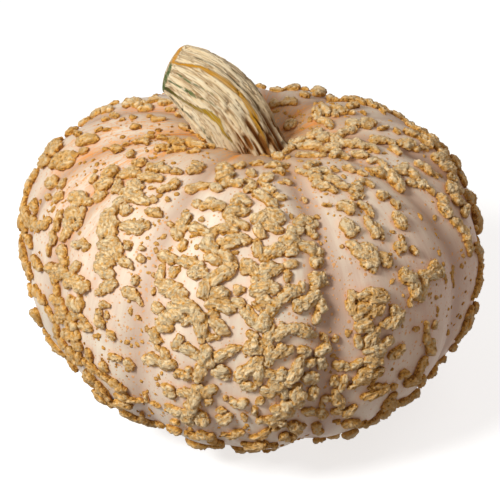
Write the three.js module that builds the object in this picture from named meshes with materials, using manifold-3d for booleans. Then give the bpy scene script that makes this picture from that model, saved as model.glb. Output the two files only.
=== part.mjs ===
// A warty winter squash: a low, ribbed, pale pink fruit studded with corky warts, and its dry corky stem.
// Millimetres, +Z up. The fruit leans a little, as it grew, and rests on a small flat spot at z = 0. The
// origin is on that spot, straight below the fruit's centre.
import * as THREE from "three";
import { ConvexGeometry } from "three/addons/geometries/ConvexGeometry.js";
import { mergeVertices } from "three/addons/utils/BufferGeometryUtils.js";
import Module from "manifold-3d";

// The fruit's own form, and how high its centre is over the flat spot.
const EQUATOR_RADIUS = 147;
const HALF_HEIGHT = 97;
const TOP_FULLNESS = 2.6;
const BOTTOM_FULLNESS = 2.12;
const THREE_SIDED = 0.038;
const LEAN = THREE.MathUtils.degToRad(3.3);
const CENTRE_HEIGHT = 93.5;

// The hollow that the stem stands in: its depth as a share of the half height, and its reach in radians.
const HOLLOW_DEPTH = 0.17;
const HOLLOW_REACH = 0.36;

// The step in radians over which the skin's slope is taken.
const SLOPE_STEP = 0.03;

// The ribs: where each groove runs, in degrees round the stem from +X, and how deep it is beside the
// deepest.
const GROOVE_DEPTH = 6.6;
const GROOVE_WIDTH = 7;
const GROOVE_FALL = 1.6;
const GROOVE_FADE = 0.75;
const GROOVES = [
  [3, 1], [31, 0.6], [57, 0.9], [83, 0.8], [108, 0.8], [131, 0.8], [155, 0.8],
  [186, 0.8], [209, 0.8], [242, 0.8], [265, 0.45], [288, 1], [311, 0.25], [335, 0.8],
];

// The skin's facets.
const FACETS_PER_RIB = 3;
const FACET_RINGS = 16;

// The stem: where its foot is from the fruit's centre, the bend and the end of its curved middle line from
// there, and its radius along that line.
const STEM_FOOT = [-3, -1, 70];
const STEM_BEND = [-17, 2, 45];
const STEM_END = [-50, 11, 56];
const STEM_RADII = [26, 24.2, 23.6, 23.4, 23, 22.2, 21, 19, 16.6];
const STEM_RIDGES = 11;
const STEM_SIDES = 33;
const RIDGE_SHARE = 0.035;
const FOOT_RIDGE_SHARE = 0.1;
const FOOT_RIDGE_FALL = 6;
const LOBES = 3;
const LOBE_SHARE = 0.6;

// The stem's rounded end: how far out each ring is, and its share of the end's radius. Then the very tip.
const STEM_CAP = [[2.4, 0.9], [4.2, 0.7], [5.2, 0.4]];
const STEM_TIP = 5.5;
const GAP = 0.4;

// A wart's height is a fixed part and a share of its width. Its sides slope in, and its root is under the
// skin. The spreads are the root's breadth and the top's, beside the wart's width.
const WART_HEIGHT = 1.5;
const WART_STEEPNESS = 0.27;
const WART_ROOT = 3.5;
const ROOT_SPREAD = 1.15;
const TOP_SPREAD = 0.55;

// Warts from this width up have pointed ends. The others are four-sided, and narrower at the far end.
const POINTED_WIDTH = 8.2;
const POINTED_REACH = 0.3;
const BLUNT_REACH = 0.75;
const FAR_BREADTH = 0.75;

// The narrowest row that is built, and how near two warts may be, beside the sum of their widths.
const LEAST_WIDTH = 11;
const CLOSEST = 0.55;

// The warts that face the front are laid out on a picture of the fruit, 500 units wide and high, seen from
// a little above. Each row is a width and then the line that the wart follows, x to the right and y down.
const VIEW_ELEVATION = THREE.MathUtils.degToRad(28.6);
const VIEW_DISTANCE = 1200;
const VIEW_UNITS_PER_MM = 1.56;
const VIEW_CENTRE = [252, 261.7];
const SEARCH_BEFORE = 180;
const SEARCH_BEHIND = 60;
const SEARCH_STEP = 3;
const HALVINGS = 20;
const FRONT_WARTS = [
  // In the front, the top of the middle ribs.
  [13, 221, 168, 229, 169], [14, 219, 179, 227, 175], [9, 231, 183, 238, 185], [8, 237, 167, 243, 165],
  [9, 251, 173, 254, 176], [10, 246, 191, 253, 187], [12, 264, 180, 270, 177],
  [10, 266, 186, 271, 192], [12, 260, 195, 268, 200, 273, 206], [15, 269, 212, 278, 220],
  [13, 258, 221, 266, 215], [12, 268, 227, 280, 231], [10, 260, 228, 261, 236],
  [8, 277, 196, 283, 198], [10, 189, 190, 199, 187, 208, 186], [10, 203, 208, 210, 203, 221, 208],
  [9, 214, 187, 218, 190], [10, 233, 203, 241, 199, 247, 204], [15, 229, 214, 237, 209, 244, 213],
  [12, 232, 222, 239, 224, 245, 229], [11, 193, 228, 203, 233, 212, 236],
  [12, 213, 233, 223, 228, 232, 232], [10, 239, 239, 248, 241], [8, 254, 164, 262, 163],
  [8, 267, 166, 275, 165], [8, 279, 165, 287, 166], [8, 276, 171, 283, 173], [9, 224, 186, 230, 182],
  [6, 247, 181, 254, 183],
  // In the front, half way down.
  [14, 207, 246, 214, 251], [14, 222, 243, 234, 243], [13, 222, 255, 232, 262],
  [12, 208, 258, 217, 263], [15, 214, 281, 224, 274, 233, 268], [12, 205, 284, 204, 295],
  [13, 213, 293, 224, 292], [13, 247, 267, 255, 270, 256, 280], [14, 265, 275, 272, 269, 280, 270],
  [14, 263, 259, 269, 253, 278, 249], [11, 257, 243, 258, 254], [14, 285, 243, 293, 240],
  [13, 285, 252, 293, 251], [13, 297, 224, 305, 221, 313, 223], [10, 293, 232, 301, 230],
  [10, 309, 231, 313, 237], [13, 302, 247, 311, 248], [12, 312, 252, 319, 253],
  [12, 313, 264, 319, 262], [12, 311, 278, 320, 279], [11, 315, 285, 322, 284],
  [8, 286, 273, 288, 280], [9, 240, 290, 242, 292], [9, 235, 302, 242, 304],
  [15, 255, 292, 264, 287, 272, 289], [13, 258, 301, 264, 300], [7, 287, 266, 296, 264],
  [7, 300, 285, 301, 288], [5, 312, 288, 312, 291],
  // In the front, below the middle.
  [12, 210, 304, 220, 306, 232, 310], [9, 211, 312, 215, 314], [13, 213, 321, 218, 326],
  [9, 222, 331, 227, 333], [8, 209, 338, 218, 337], [14, 249, 312, 253, 324], [15, 257, 327, 266, 323],
  [11, 276, 304, 270, 312, 264, 319], [13, 281, 301, 287, 294, 295, 291],
  [13, 297, 309, 306, 303, 315, 297], [12, 316, 303, 321, 309], [9, 317, 312, 316, 320],
  [12, 271, 328, 270, 339], [12, 275, 335, 283, 331, 291, 328], [13, 296, 331, 303, 330, 312, 336],
  [12, 270, 349, 270, 362], [12, 274, 355, 280, 352, 290, 348], [11, 300, 350, 305, 352],
  [12, 318, 352, 324, 350], [9, 320, 360, 322, 367], [8, 249, 335, 259, 339], [15, 247, 349, 257, 348],
  [11, 218, 358, 228, 353, 239, 348], [13, 256, 364, 246, 371, 239, 380], [11, 259, 368, 258, 382],
  [11, 245, 386, 254, 388], [11, 266, 373, 274, 376, 281, 374], [14, 272, 383, 280, 386],
  [13, 264, 391, 272, 391], [11, 281, 391, 284, 396], [13, 299, 361, 294, 373, 289, 383],
  [14, 217, 372, 225, 373], [7, 322, 336, 325, 339], [6, 335, 338, 337, 340], [6, 253, 304, 258, 308],
  // In the front, the ribs left of the middle.
  [13, 184, 262, 192, 265, 201, 268], [13, 192, 273, 202, 272], [11, 161, 256, 168, 258, 174, 262],
  [11, 161, 270, 160, 278], [15, 161, 285, 168, 287], [14, 170, 292, 177, 287],
  [9, 173, 274, 178, 270], [9, 182, 294, 185, 298], [13, 172, 305, 182, 304, 192, 308],
  [14, 176, 312, 182, 317], [10, 185, 323, 188, 320], [11, 157, 308, 160, 311],
  [14, 164, 317, 169, 320], [14, 160, 325, 168, 327], [12, 154, 334, 158, 341],
  [14, 197, 317, 201, 328, 202, 340], [14, 203, 350, 207, 362], [11, 179, 340, 176, 347],
  [10, 185, 348, 194, 352, 202, 357], [11, 163, 352, 166, 357], [12, 152, 360, 160, 363],
  [14, 165, 365, 172, 366], [12, 202, 368, 196, 379], [8, 179, 372, 186, 377, 190, 371],
  [11, 181, 393, 190, 395], [13, 195, 389, 194, 401, 193, 411], [8, 164, 386, 172, 389],
  [9, 168, 394, 175, 396], [12, 203, 392, 212, 392], [8, 206, 403, 210, 402], [6, 157, 346, 159, 349],
  [6, 145, 358, 149, 364], [5, 175, 373, 176, 376],
  // In the front, along the bottom.
  [11, 169, 408, 176, 411, 183, 415], [13, 186, 413, 190, 423], [14, 200, 414, 202, 423],
  [8, 173, 422, 177, 423], [9, 174, 430, 179, 431], [11, 189, 434, 197, 436], [12, 202, 434, 210, 437],
  [10, 213, 442, 220, 443], [9, 217, 418, 224, 421, 229, 416], [8, 224, 435, 232, 436, 240, 432],
  [13, 246, 445, 255, 447, 262, 444], [8, 251, 438, 261, 436, 268, 431], [9, 269, 446, 275, 445],
  [9, 233, 403, 235, 402], [9, 242, 403, 247, 402], [9, 259, 402, 262, 400], [7, 254, 408, 257, 415],
  [13, 262, 421, 272, 420, 281, 424], [14, 277, 410, 286, 413], [12, 287, 404, 290, 413],
  [15, 296, 390, 297, 402], [12, 283, 436, 291, 437], [13, 293, 425, 298, 429],
  [6, 243, 415, 244, 417], [6, 226, 398, 227, 400], [5, 219, 410, 225, 410], [5, 271, 430, 279, 428],
  // Right of the front, along the bottom.
  [13, 306, 378, 313, 379], [9, 313, 388, 312, 397], [9, 305, 412, 314, 413], [10, 318, 413, 326, 416],
  [7, 324, 398, 331, 399], [9, 337, 365, 343, 365], [9, 346, 366, 353, 366, 360, 363],
  [9, 334, 379, 336, 384], [9, 344, 379, 343, 388], [9, 337, 392, 338, 400, 342, 406],
  [8, 334, 412, 340, 411], [11, 348, 414, 353, 408], [14, 348, 424, 356, 424], [9, 360, 426, 364, 423],
  [8, 366, 424, 373, 422, 379, 419], [13, 364, 372, 373, 374, 381, 372], [11, 358, 381, 367, 380],
  [11, 364, 398, 374, 394, 384, 389], [12, 383, 413, 390, 414], [12, 387, 403, 393, 406],
  [10, 402, 402, 410, 401], [9, 315, 425, 318, 431], [13, 409, 382, 417, 381], [8, 402, 375, 407, 374],
  [7, 423, 378, 421, 386], [11, 424, 361, 420, 371, 417, 379], [6, 321, 403, 322, 409],
  [6, 349, 388, 355, 385], [5, 337, 422, 340, 421], [5, 391, 387, 396, 386], [6, 417, 393, 414, 397],
  [7, 391, 396, 395, 395], [8, 304, 364, 311, 362], [7, 369, 388, 380, 386],
  // Right of the front, half way down.
  [12, 430, 345, 434, 352], [8, 426, 323, 427, 332, 426, 340], [15, 370, 350, 378, 352],
  [15, 371, 361, 380, 362], [12, 369, 343, 375, 335, 378, 330], [11, 383, 346, 390, 341],
  [10, 391, 356, 400, 350], [14, 363, 325, 371, 324], [11, 358, 338, 360, 343],
  [9, 355, 316, 359, 316], [14, 361, 297, 372, 294, 381, 298], [14, 360, 308, 370, 309],
  [13, 374, 312, 381, 305], [9, 351, 293, 351, 302, 353, 310], [15, 390, 325, 398, 318],
  [10, 394, 309, 402, 315], [15, 404, 275, 413, 281], [13, 414, 288, 416, 296],
  [10, 425, 281, 424, 292, 421, 299], [11, 422, 276, 431, 275, 440, 273], [11, 431, 270, 437, 267],
  [11, 341, 207, 347, 205, 353, 212], [13, 345, 222, 350, 229], [10, 350, 235, 357, 231],
  [9, 361, 206, 368, 207, 371, 214], [9, 367, 219, 372, 227, 377, 235], [9, 377, 228, 383, 237],
  [13, 353, 246, 360, 251, 366, 258], [13, 366, 248, 371, 255], [12, 366, 265, 373, 262, 375, 269],
  [12, 380, 259, 388, 261], [11, 398, 247, 402, 247], [16, 400, 221, 404, 225],
  [9, 395, 203, 398, 207], [8, 413, 250, 416, 252], [5, 414, 329, 419, 329], [5, 436, 322, 434, 328],
  [6, 410, 300, 410, 305], [4, 324, 205, 330, 206], [4, 303, 198, 306, 202], [5, 401, 237, 402, 240],
  // Right of the front, the shoulder and the far side.
  [12, 376, 172, 386, 176], [13, 388, 173, 396, 179], [13, 397, 181, 401, 189],
  [10, 396, 170, 408, 169, 417, 176], [8, 411, 183, 424, 183], [12, 441, 198, 446, 201],
  [13, 444, 207, 448, 211], [13, 451, 189, 459, 189], [13, 456, 196, 460, 201],
  [10, 465, 204, 465, 212], [12, 475, 209, 477, 219], [10, 454, 220, 461, 225, 466, 233],
  [9, 466, 233, 469, 244, 471, 254], [9, 477, 247, 481, 258], [9, 482, 266, 479, 284, 474, 297],
  [7, 471, 308, 468, 317], [6, 466, 323, 464, 331, 457, 340], [9, 341, 186, 348, 188],
  [12, 352, 191, 358, 190], [8, 354, 198, 361, 195], [9, 360, 184, 366, 181, 373, 186],
  [9, 382, 196, 388, 196], [9, 315, 185, 322, 183], [9, 323, 188, 331, 187, 335, 191],
  [9, 313, 178, 320, 178], [9, 325, 179, 333, 179, 338, 183], [9, 308, 166, 316, 164],
  [9, 316, 172, 323, 170, 328, 173], [7, 346, 168, 354, 171], [8, 382, 161, 385, 167],
  [10, 420, 165, 426, 168, 431, 172], [12, 437, 158, 447, 158], [12, 443, 166, 453, 169],
  [9, 441, 152, 448, 154], [10, 454, 160, 460, 170], [10, 452, 178, 457, 182], [9, 461, 174, 465, 182],
  [11, 402, 143, 411, 145], [9, 396, 149, 399, 153], [8, 391, 141, 394, 145], [10, 409, 132, 418, 135],
  [11, 423, 138, 430, 145], [10, 432, 138, 437, 147], [9, 396, 114, 405, 118, 410, 124],
  [10, 414, 124, 422, 127, 428, 134], [9, 466, 192, 471, 199], [6, 370, 161, 377, 160],
  [5, 359, 172, 366, 175], [5, 335, 170, 339, 171], [6, 297, 170, 305, 173, 312, 175],
  [5, 435, 175, 438, 178], [7, 427, 186, 434, 193], [6, 415, 148, 418, 150], [6, 422, 147, 428, 149],
  [7, 397, 130, 400, 132], [4, 380, 129, 388, 127], [6, 285, 181, 289, 183],
  // Behind the stem and round its hollow.
  [9, 303, 94, 306, 95], [8, 315, 94, 321, 93], [8, 330, 98, 339, 97], [9, 347, 98, 356, 96],
  [9, 350, 106, 357, 105], [9, 361, 99, 364, 103], [10, 370, 99, 375, 106],
  [10, 378, 100, 386, 103, 390, 108], [10, 275, 88, 282, 88], [8, 292, 89, 295, 89],
  [9, 318, 110, 317, 116], [9, 325, 108, 328, 114], [8, 322, 121, 328, 121, 332, 126],
  [10, 334, 113, 340, 110, 345, 111], [10, 341, 132, 348, 129, 354, 129], [10, 352, 124, 361, 124],
  [11, 364, 124, 372, 121, 376, 123], [9, 308, 137, 315, 134, 321, 131], [13, 322, 139, 329, 136],
  [11, 332, 136, 337, 141], [9, 297, 142, 305, 140], [10, 302, 147, 312, 145, 321, 146],
  [11, 325, 149, 333, 146, 340, 150], [10, 344, 143, 354, 144, 363, 144],
  [9, 364, 146, 372, 146, 377, 150], [9, 357, 155, 363, 153, 368, 156],
  [9, 332, 156, 338, 154, 346, 157], [9, 375, 141, 383, 139, 390, 140],
  [8, 300, 155, 312, 155, 325, 155], [9, 275, 102, 276, 104], [9, 286, 103, 293, 101],
  [9, 288, 126, 294, 121], [6, 322, 106, 326, 106], [5, 349, 113, 353, 113], [5, 363, 112, 366, 114],
  [6, 380, 108, 384, 113], [10, 172, 141, 181, 143], [9, 176, 149, 182, 150],
  [10, 186, 142, 193, 145, 201, 147], [8, 156, 148, 165, 147], [6, 190, 152, 198, 151],
  [7, 204, 146, 211, 147], [6, 190, 131, 198, 134, 203, 139], [6, 181, 126, 187, 129],
  [8, 275, 154, 282, 157], [7, 288, 143, 296, 146], [8, 285, 152, 292, 148],
  // Left of the front, the shoulder.
  [10, 189, 171, 197, 169], [8, 195, 164, 203, 166], [12, 149, 169, 157, 167], [8, 160, 169, 165, 170],
  [11, 140, 178, 150, 177, 159, 179], [12, 122, 176, 130, 172, 136, 174], [10, 135, 164, 142, 161],
  [9, 158, 190, 165, 189], [10, 166, 188, 173, 184], [14, 105, 173, 111, 170], [8, 112, 148, 118, 149],
  [10, 125, 104, 132, 102, 138, 104], [7, 148, 101, 157, 99], [8, 161, 102, 170, 102],
  [8, 143, 109, 150, 108], [12, 131, 184, 138, 188], [13, 125, 195, 135, 198, 144, 203],
  [10, 117, 183, 117, 190], [12, 117, 204, 122, 201], [10, 124, 205, 124, 213],
  [12, 79, 142, 87, 139, 93, 139], [14, 52, 165, 58, 159, 66, 157], [12, 60, 166, 68, 163],
  [9, 71, 157, 73, 155], [11, 57, 141, 56, 148], [11, 66, 132, 73, 130], [10, 81, 121, 86, 119],
  [8, 92, 115, 97, 113], [8, 104, 110, 110, 109], [11, 42, 157, 44, 163], [10, 46, 153, 53, 152],
  [10, 31, 169, 33, 178], [9, 27, 184, 24, 192], [9, 22, 197, 21, 205], [7, 172, 172, 179, 172],
  [6, 135, 142, 141, 140, 147, 143], [6, 145, 138, 152, 137], [6, 157, 137, 165, 139],
  [6, 133, 127, 138, 126], [6, 153, 119, 161, 119], [6, 166, 109, 171, 109], [5, 175, 114, 178, 115],
  [5, 110, 115, 116, 117], [7, 128, 156, 130, 153], [7, 90, 181, 93, 178], [7, 80, 152, 85, 150],
  [6, 75, 133, 78, 134], [6, 168, 152, 173, 151], [4, 150, 188, 154, 188], [5, 142, 102, 145, 103],
  // Left of the front, half way down.
  [13, 97, 190, 103, 187], [12, 99, 197, 102, 196], [15, 72, 198, 79, 199], [9, 84, 203, 88, 202],
  [11, 80, 211, 79, 217], [13, 67, 212, 72, 213], [12, 67, 223, 69, 232], [9, 73, 226, 78, 225],
  [9, 59, 212, 57, 220, 56, 227], [9, 52, 234, 52, 242], [10, 76, 245, 84, 243], [8, 84, 249, 88, 247],
  [12, 58, 250, 63, 253], [8, 55, 200, 60, 194], [12, 47, 183, 54, 182], [8, 61, 186, 64, 180],
  [10, 33, 203, 35, 209], [12, 20, 214, 20, 225], [12, 24, 211, 28, 219], [11, 32, 222, 38, 227],
  [9, 25, 228, 24, 235], [8, 48, 219, 43, 226], [10, 19, 237, 20, 246], [11, 23, 248, 25, 260],
  [8, 27, 238, 31, 246], [9, 33, 258, 39, 266], [9, 27, 266, 31, 275], [14, 107, 214, 112, 213],
  [14, 103, 222, 103, 234], [13, 112, 220, 110, 234], [12, 121, 226, 130, 227, 138, 230],
  [8, 139, 229, 145, 226], [15, 101, 247, 111, 246], [15, 99, 257, 109, 256], [12, 117, 249, 118, 258],
  [14, 98, 266, 107, 267], [12, 103, 273, 111, 273], [9, 121, 262, 127, 265], [8, 125, 243, 127, 246],
  [10, 148, 212, 154, 213, 158, 213], [8, 151, 200, 153, 200], [13, 185, 219, 182, 229],
  [13, 176, 231, 178, 237], [9, 184, 244, 181, 250], [7, 139, 256, 140, 259], [8, 194, 204, 197, 206],
  [8, 65, 234, 61, 240], [8, 62, 262, 66, 264], [6, 47, 197, 49, 199], [6, 49, 246, 48, 254],
  [6, 170, 224, 172, 225], [5, 191, 237, 195, 235], [5, 201, 220, 203, 220], [5, 184, 214, 187, 211],
  [4, 130, 267, 132, 269], [4, 140, 248, 142, 249],
  // Left of the front, along the bottom.
  [10, 35, 287, 37, 294], [10, 40, 298, 44, 302], [8, 45, 306, 50, 313], [7, 53, 317, 55, 322],
  [13, 57, 328, 58, 335], [10, 61, 341, 65, 346], [14, 71, 353, 74, 361], [10, 79, 356, 80, 364],
  [13, 88, 364, 92, 368], [13, 88, 375, 92, 380], [13, 99, 386, 104, 394], [10, 53, 274, 55, 284],
  [9, 56, 288, 58, 294], [13, 48, 267, 53, 268], [12, 57, 273, 64, 272], [10, 72, 271, 77, 266],
  [14, 68, 281, 78, 280], [13, 77, 288, 85, 285], [14, 70, 301, 74, 307], [9, 79, 297, 79, 307],
  [10, 53, 301, 62, 301], [12, 57, 309, 65, 313], [9, 56, 317, 62, 320], [9, 68, 316, 76, 316],
  [11, 67, 325, 74, 325], [9, 81, 326, 90, 328], [11, 65, 335, 73, 335], [9, 77, 333, 77, 339],
  [10, 73, 345, 79, 346], [9, 87, 351, 90, 360], [10, 98, 319, 102, 326], [7, 98, 311, 99, 313],
  [7, 110, 334, 113, 337], [8, 110, 356, 118, 359], [8, 126, 362, 131, 368], [8, 102, 363, 105, 370],
  [10, 96, 293, 104, 289, 112, 285], [7, 134, 278, 134, 283], [9, 126, 291, 133, 295, 138, 299],
  [9, 97, 371, 105, 377, 113, 383], [9, 118, 386, 121, 391], [11, 110, 402, 118, 405, 127, 404],
  [10, 117, 396, 125, 397], [10, 122, 412, 130, 416, 137, 420], [8, 142, 420, 150, 424, 160, 428],
  [6, 128, 399, 136, 401, 143, 401], [6, 102, 304, 108, 306], [6, 106, 313, 107, 317],
  [5, 140, 301, 141, 304], [5, 137, 317, 140, 319], [4, 154, 288, 153, 295], [4, 153, 274, 153, 277],
  [5, 145, 394, 147, 400], [5, 151, 403, 159, 406], [5, 79, 316, 85, 320], [4, 141, 413, 142, 418],
];

// The warts that the front view doesn't reach: how many, how far apart, and their sizes in millimetres.
const BACK_SEED = 11;
const BACK_TRIES = 20000;
const BACK_WARTS = 140;
const BACK_SPACING = 15;
const BACK_WIDTH = [6, 9.5];
const BACK_LENGTH = 12;
const LEAST_LENGTH = 1;

// They turn this many radians at most from side to side of the ribs' own direction.
const BACK_TURN = 2.4;

// Where none of them stand: in sight of the front view, by the stem, at the bottom and in deep grooves.
const IN_SIGHT = 0.02;
const BARE_TOP = 0.45;
const BARE_BOTTOM = THREE.MathUtils.degToRad(150);
const BARE_GROOVE = 0.45;

// The block that cuts the flat spot.
const FLOOR_SIDE = 300;
const FLOOR_THICKNESS = 60;

const wasm = await Module();
wasm.setup();

// How deep the grooves cut at a longitude, from 0 on a crest to 1 in the deepest groove.
function grooveShare(longitude) {
  const degrees = THREE.MathUtils.radToDeg(longitude);
  return GROOVES.reduce((share, [at, depth]) => {
    const away = Math.abs(THREE.MathUtils.euclideanModulo(degrees - at + 180, 360) - 180);
    return share + depth * Math.exp(-((away / GROOVE_WIDTH) ** GROOVE_FALL));
  }, 0);
}

// The skin's distance from the fruit's centre, at an angle from the stem's pole and a longitude.
function skinRadius(fromPole, longitude) {
  const across = Math.abs(Math.sin(fromPole));
  const along = Math.abs(Math.cos(fromPole));
  const fullness = fromPole < Math.PI / 2 ? TOP_FULLNESS : BOTTOM_FULLNESS;
  const bulge = (across / EQUATOR_RADIUS) ** fullness + (along / HALF_HEIGHT) ** fullness;
  const globe = bulge ** (-1 / fullness);
  const hollow = 1 - HOLLOW_DEPTH * Math.exp(-((fromPole / HOLLOW_REACH) ** 2));
  const sides = 1 + THREE_SIDED * Math.sin(3 * longitude) * across ** 3;
  return globe * hollow * sides - GROOVE_DEPTH * grooveShare(longitude) * across ** GROOVE_FADE;
}

// The point of the skin in a direction from the fruit's centre.
function onSkin(direction) {
  const unit = direction.clone().normalize();
  const fromPole = Math.acos(THREE.MathUtils.clamp(unit.z, -1, 1));
  return unit.multiplyScalar(skinRadius(fromPole, Math.atan2(unit.y, unit.x)));
}

// The skin's outward direction there, over a few millimetres each way.
function skinNormal(direction) {
  const unit = direction.clone().normalize();
  const east = new THREE.Vector3(-unit.y, unit.x, 0).normalize();
  const north = unit.clone().cross(east);
  const slope = (side) => {
    const ahead = onSkin(unit.clone().addScaledVector(side, SLOPE_STEP));
    return ahead.sub(onSkin(unit.clone().addScaledVector(side, -SLOPE_STEP)));
  };
  return slope(east).cross(slope(north)).normalize();
}

function solidOf(geometry) {
  const bare = new THREE.BufferGeometry().setAttribute("position", geometry.getAttribute("position"));
  if (geometry.index) bare.setIndex(geometry.index);
  const merged = mergeVertices(bare, 1e-3);
  const vertProperties = merged.getAttribute("position").array;
  const triVerts = new Uint32Array(merged.index.array);
  return new wasm.Manifold(new wasm.Mesh({ numProp: 3, vertProperties, triVerts }));
}

function geometryOf(solid) {
  const { vertProperties, triVerts } = solid.getMesh();
  const geometry = new THREE.BufferGeometry();
  geometry.setAttribute("position", new THREE.BufferAttribute(vertProperties, 3));
  geometry.setIndex(new THREE.BufferAttribute(triVerts, 1));
  return geometry;
}

// The bare skin: a globe whose meridians are moved so that every rib has the same number of facets.
function skinSolid() {
  const meridians = GROOVES.length * FACETS_PER_RIB;
  const globe = new THREE.SphereGeometry(1, meridians, FACET_RINGS).rotateX(Math.PI / 2);
  const position = globe.getAttribute("position");
  const vertex = new THREE.Vector3();
  for (let i = 0; i < position.count; i++) {
    vertex.fromBufferAttribute(position, i);
    const turn = THREE.MathUtils.euclideanModulo(Math.atan2(vertex.y, vertex.x) / (2 * Math.PI), 1);
    const meridian = Math.round(turn * meridians) % meridians;
    const rib = Math.floor(meridian / FACETS_PER_RIB);
    const from = GROOVES[rib][0];
    const to = rib + 1 < GROOVES.length ? GROOVES[rib + 1][0] : GROOVES[0][0] + 360;
    const share = (meridian % FACETS_PER_RIB) / FACETS_PER_RIB;
    const longitude = THREE.MathUtils.degToRad(from + share * (to - from));
    const across = Math.hypot(vertex.x, vertex.y);
    vertex.set(across * Math.cos(longitude), across * Math.sin(longitude), vertex.z);
    position.setXYZ(i, ...onSkin(vertex));
  }
  return solidOf(globe);
}

// The picture's own axes, turned into the fruit's frame.
const upright = new THREE.Matrix4().makeRotationY(-LEAN);
const viewBack = new THREE.Vector3(0, -Math.cos(VIEW_ELEVATION), Math.sin(VIEW_ELEVATION));
viewBack.transformDirection(upright);
const viewRight = new THREE.Vector3(1, 0, 0).transformDirection(upright);
const viewUp = viewBack.clone().cross(viewRight);
const eye = viewBack.clone().multiplyScalar(VIEW_DISTANCE);

// Where the sight line through a point of the picture meets the skin, for something that stands this far
// over it. A line that misses the fruit gives the point of the skin that it passes closest to.
function seenPoint(x, y, standing) {
  const line = eye.clone().negate();
  line.addScaledVector(viewRight, (x - VIEW_CENTRE[0]) / VIEW_UNITS_PER_MM);
  line.addScaledVector(viewUp, (VIEW_CENTRE[1] - y) / VIEW_UNITS_PER_MM);
  line.normalize();
  const over = (distance) => {
    const point = eye.clone().addScaledVector(line, distance);
    return point.length() - onSkin(point).length() - standing;
  };
  let nearest = VIEW_DISTANCE - SEARCH_BEFORE;
  const last = VIEW_DISTANCE + SEARCH_BEHIND;
  for (let distance = nearest; distance < last && over(nearest) > 0; distance += SEARCH_STEP)
    if (over(distance) < over(nearest)) nearest = distance;
  if (over(nearest) < 0) {
    let outside = nearest - SEARCH_STEP;
    for (let i = 0; i < HALVINGS; i++) {
      const middle = (outside + nearest) / 2;
      if (over(middle) < 0) nearest = middle;
      else outside = middle;
    }
  }
  return onSkin(eye.clone().addScaledVector(line, nearest));
}

const heightOf = (width) => WART_HEIGHT + WART_STEEPNESS * width;

// A wart: a low lump with sloping sides along a short line on the skin. Broad ones have pointed ends.
function wart(line, width) {
  const last = line.length - 1;
  const pointed = width >= POINTED_WIDTH;
  const corners = [];
  line.forEach((point, i) => {
    const normal = skinNormal(point);
    const along = line[Math.min(i + 1, last)].clone().sub(line[Math.max(i - 1, 0)]);
    along.addScaledVector(normal, -along.dot(normal)).normalize();
    const aside = normal.clone().cross(along);
    const put = (forward, sideways, lift) => {
      const corner = point.clone().addScaledVector(along, (forward * width) / 2);
      corners.push(corner.addScaledVector(aside, (sideways * width) / 2).addScaledVector(normal, lift));
    };
    const outward = i === 0 ? -1 : i === last ? 1 : 0;
    if (!outward && !pointed) return;
    const reach = pointed ? POINTED_REACH : BLUNT_REACH;
    const breadth = i === 0 || pointed ? 1 : FAR_BREADTH;
    for (const [spread, lift] of [[ROOT_SPREAD, -WART_ROOT], [TOP_SPREAD, heightOf(width)]]) {
      if (outward && pointed) put(outward * spread, 0, lift);
      put(outward * reach * spread, breadth * spread, lift);
      put(outward * reach * spread, -breadth * spread, lift);
    }
  });
  return solidOf(new ConvexGeometry(corners));
}

// Broad warts first, and then the narrower ones that no broader one nearly covers.
function frontWarts() {
  const kept = [];
  const broadFirst = FRONT_WARTS.filter(([width]) => width >= LEAST_WIDTH).sort((a, b) => b[0] - a[0]);
  for (const [units, ...line] of broadFirst) {
    const points = [];
    const standing = heightOf(units / VIEW_UNITS_PER_MM) / 2;
    for (let i = 0; i < line.length; i += 2) points.push(seenPoint(line[i], line[i + 1], standing));
    const width = (units * eye.distanceTo(points[0])) / (VIEW_DISTANCE * VIEW_UNITS_PER_MM);
    const centre = points[0].clone().add(points[points.length - 1]).divideScalar(2);
    if (kept.some((other) => other.centre.distanceTo(centre) < CLOSEST * (width + other.width))) continue;
    kept.push({ centre, width, solid: wart(points, width) });
  }
  return kept.map(({ solid }) => solid);
}

// A seeded run of numbers from 0 to 1.
function seeded(seed) {
  let state = seed >>> 0;
  return () => {
    state = (state + 0x6d2b79f5) >>> 0;
    let mixed = Math.imul(state ^ (state >>> 15), state | 1);
    mixed ^= mixed + Math.imul(mixed ^ (mixed >>> 7), mixed | 61);
    return ((mixed ^ (mixed >>> 14)) >>> 0) / 4294967296;
  };
}

// The hidden side: short lines, mostly along the ribs and spaced apart.
function backWarts() {
  const random = seeded(BACK_SEED);
  const centres = [];
  const warts = [];
  for (let tries = 0; tries < BACK_TRIES && centres.length < BACK_WARTS; tries++) {
    const latitude = Math.asin(2 * random() - 1);
    const around = 2 * Math.PI * random();
    const direction = new THREE.Vector3(Math.cos(latitude), 0, Math.sin(latitude));
    direction.applyAxisAngle(new THREE.Vector3(0, 0, 1), around);
    const turn = (random() - 0.5) * BACK_TURN;
    const length = BACK_LENGTH * random();
    const width = THREE.MathUtils.lerp(BACK_WIDTH[0], BACK_WIDTH[1], random());
    const centre = onSkin(direction);
    const normal = skinNormal(direction);
    const fromPole = direction.angleTo(new THREE.Vector3(0, 0, 1));
    const seen = normal.dot(eye.clone().sub(centre).normalize());
    const grooved = grooveShare(Math.atan2(direction.y, direction.x));
    if (seen > IN_SIGHT || fromPole > BARE_BOTTOM || fromPole < BARE_TOP || grooved > BARE_GROOVE) continue;
    if (centres.some((other) => other.distanceTo(centre) < BACK_SPACING)) continue;
    centres.push(centre);
    const meridian = new THREE.Vector3(0, 0, 1).addScaledVector(normal, -normal.z).normalize();
    const along = meridian.applyAxisAngle(normal, turn).multiplyScalar(length / 2 + LEAST_LENGTH);
    warts.push(wart([onSkin(centre.clone().sub(along)), onSkin(centre.clone().add(along))], width));
  }
  return warts;
}

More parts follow.
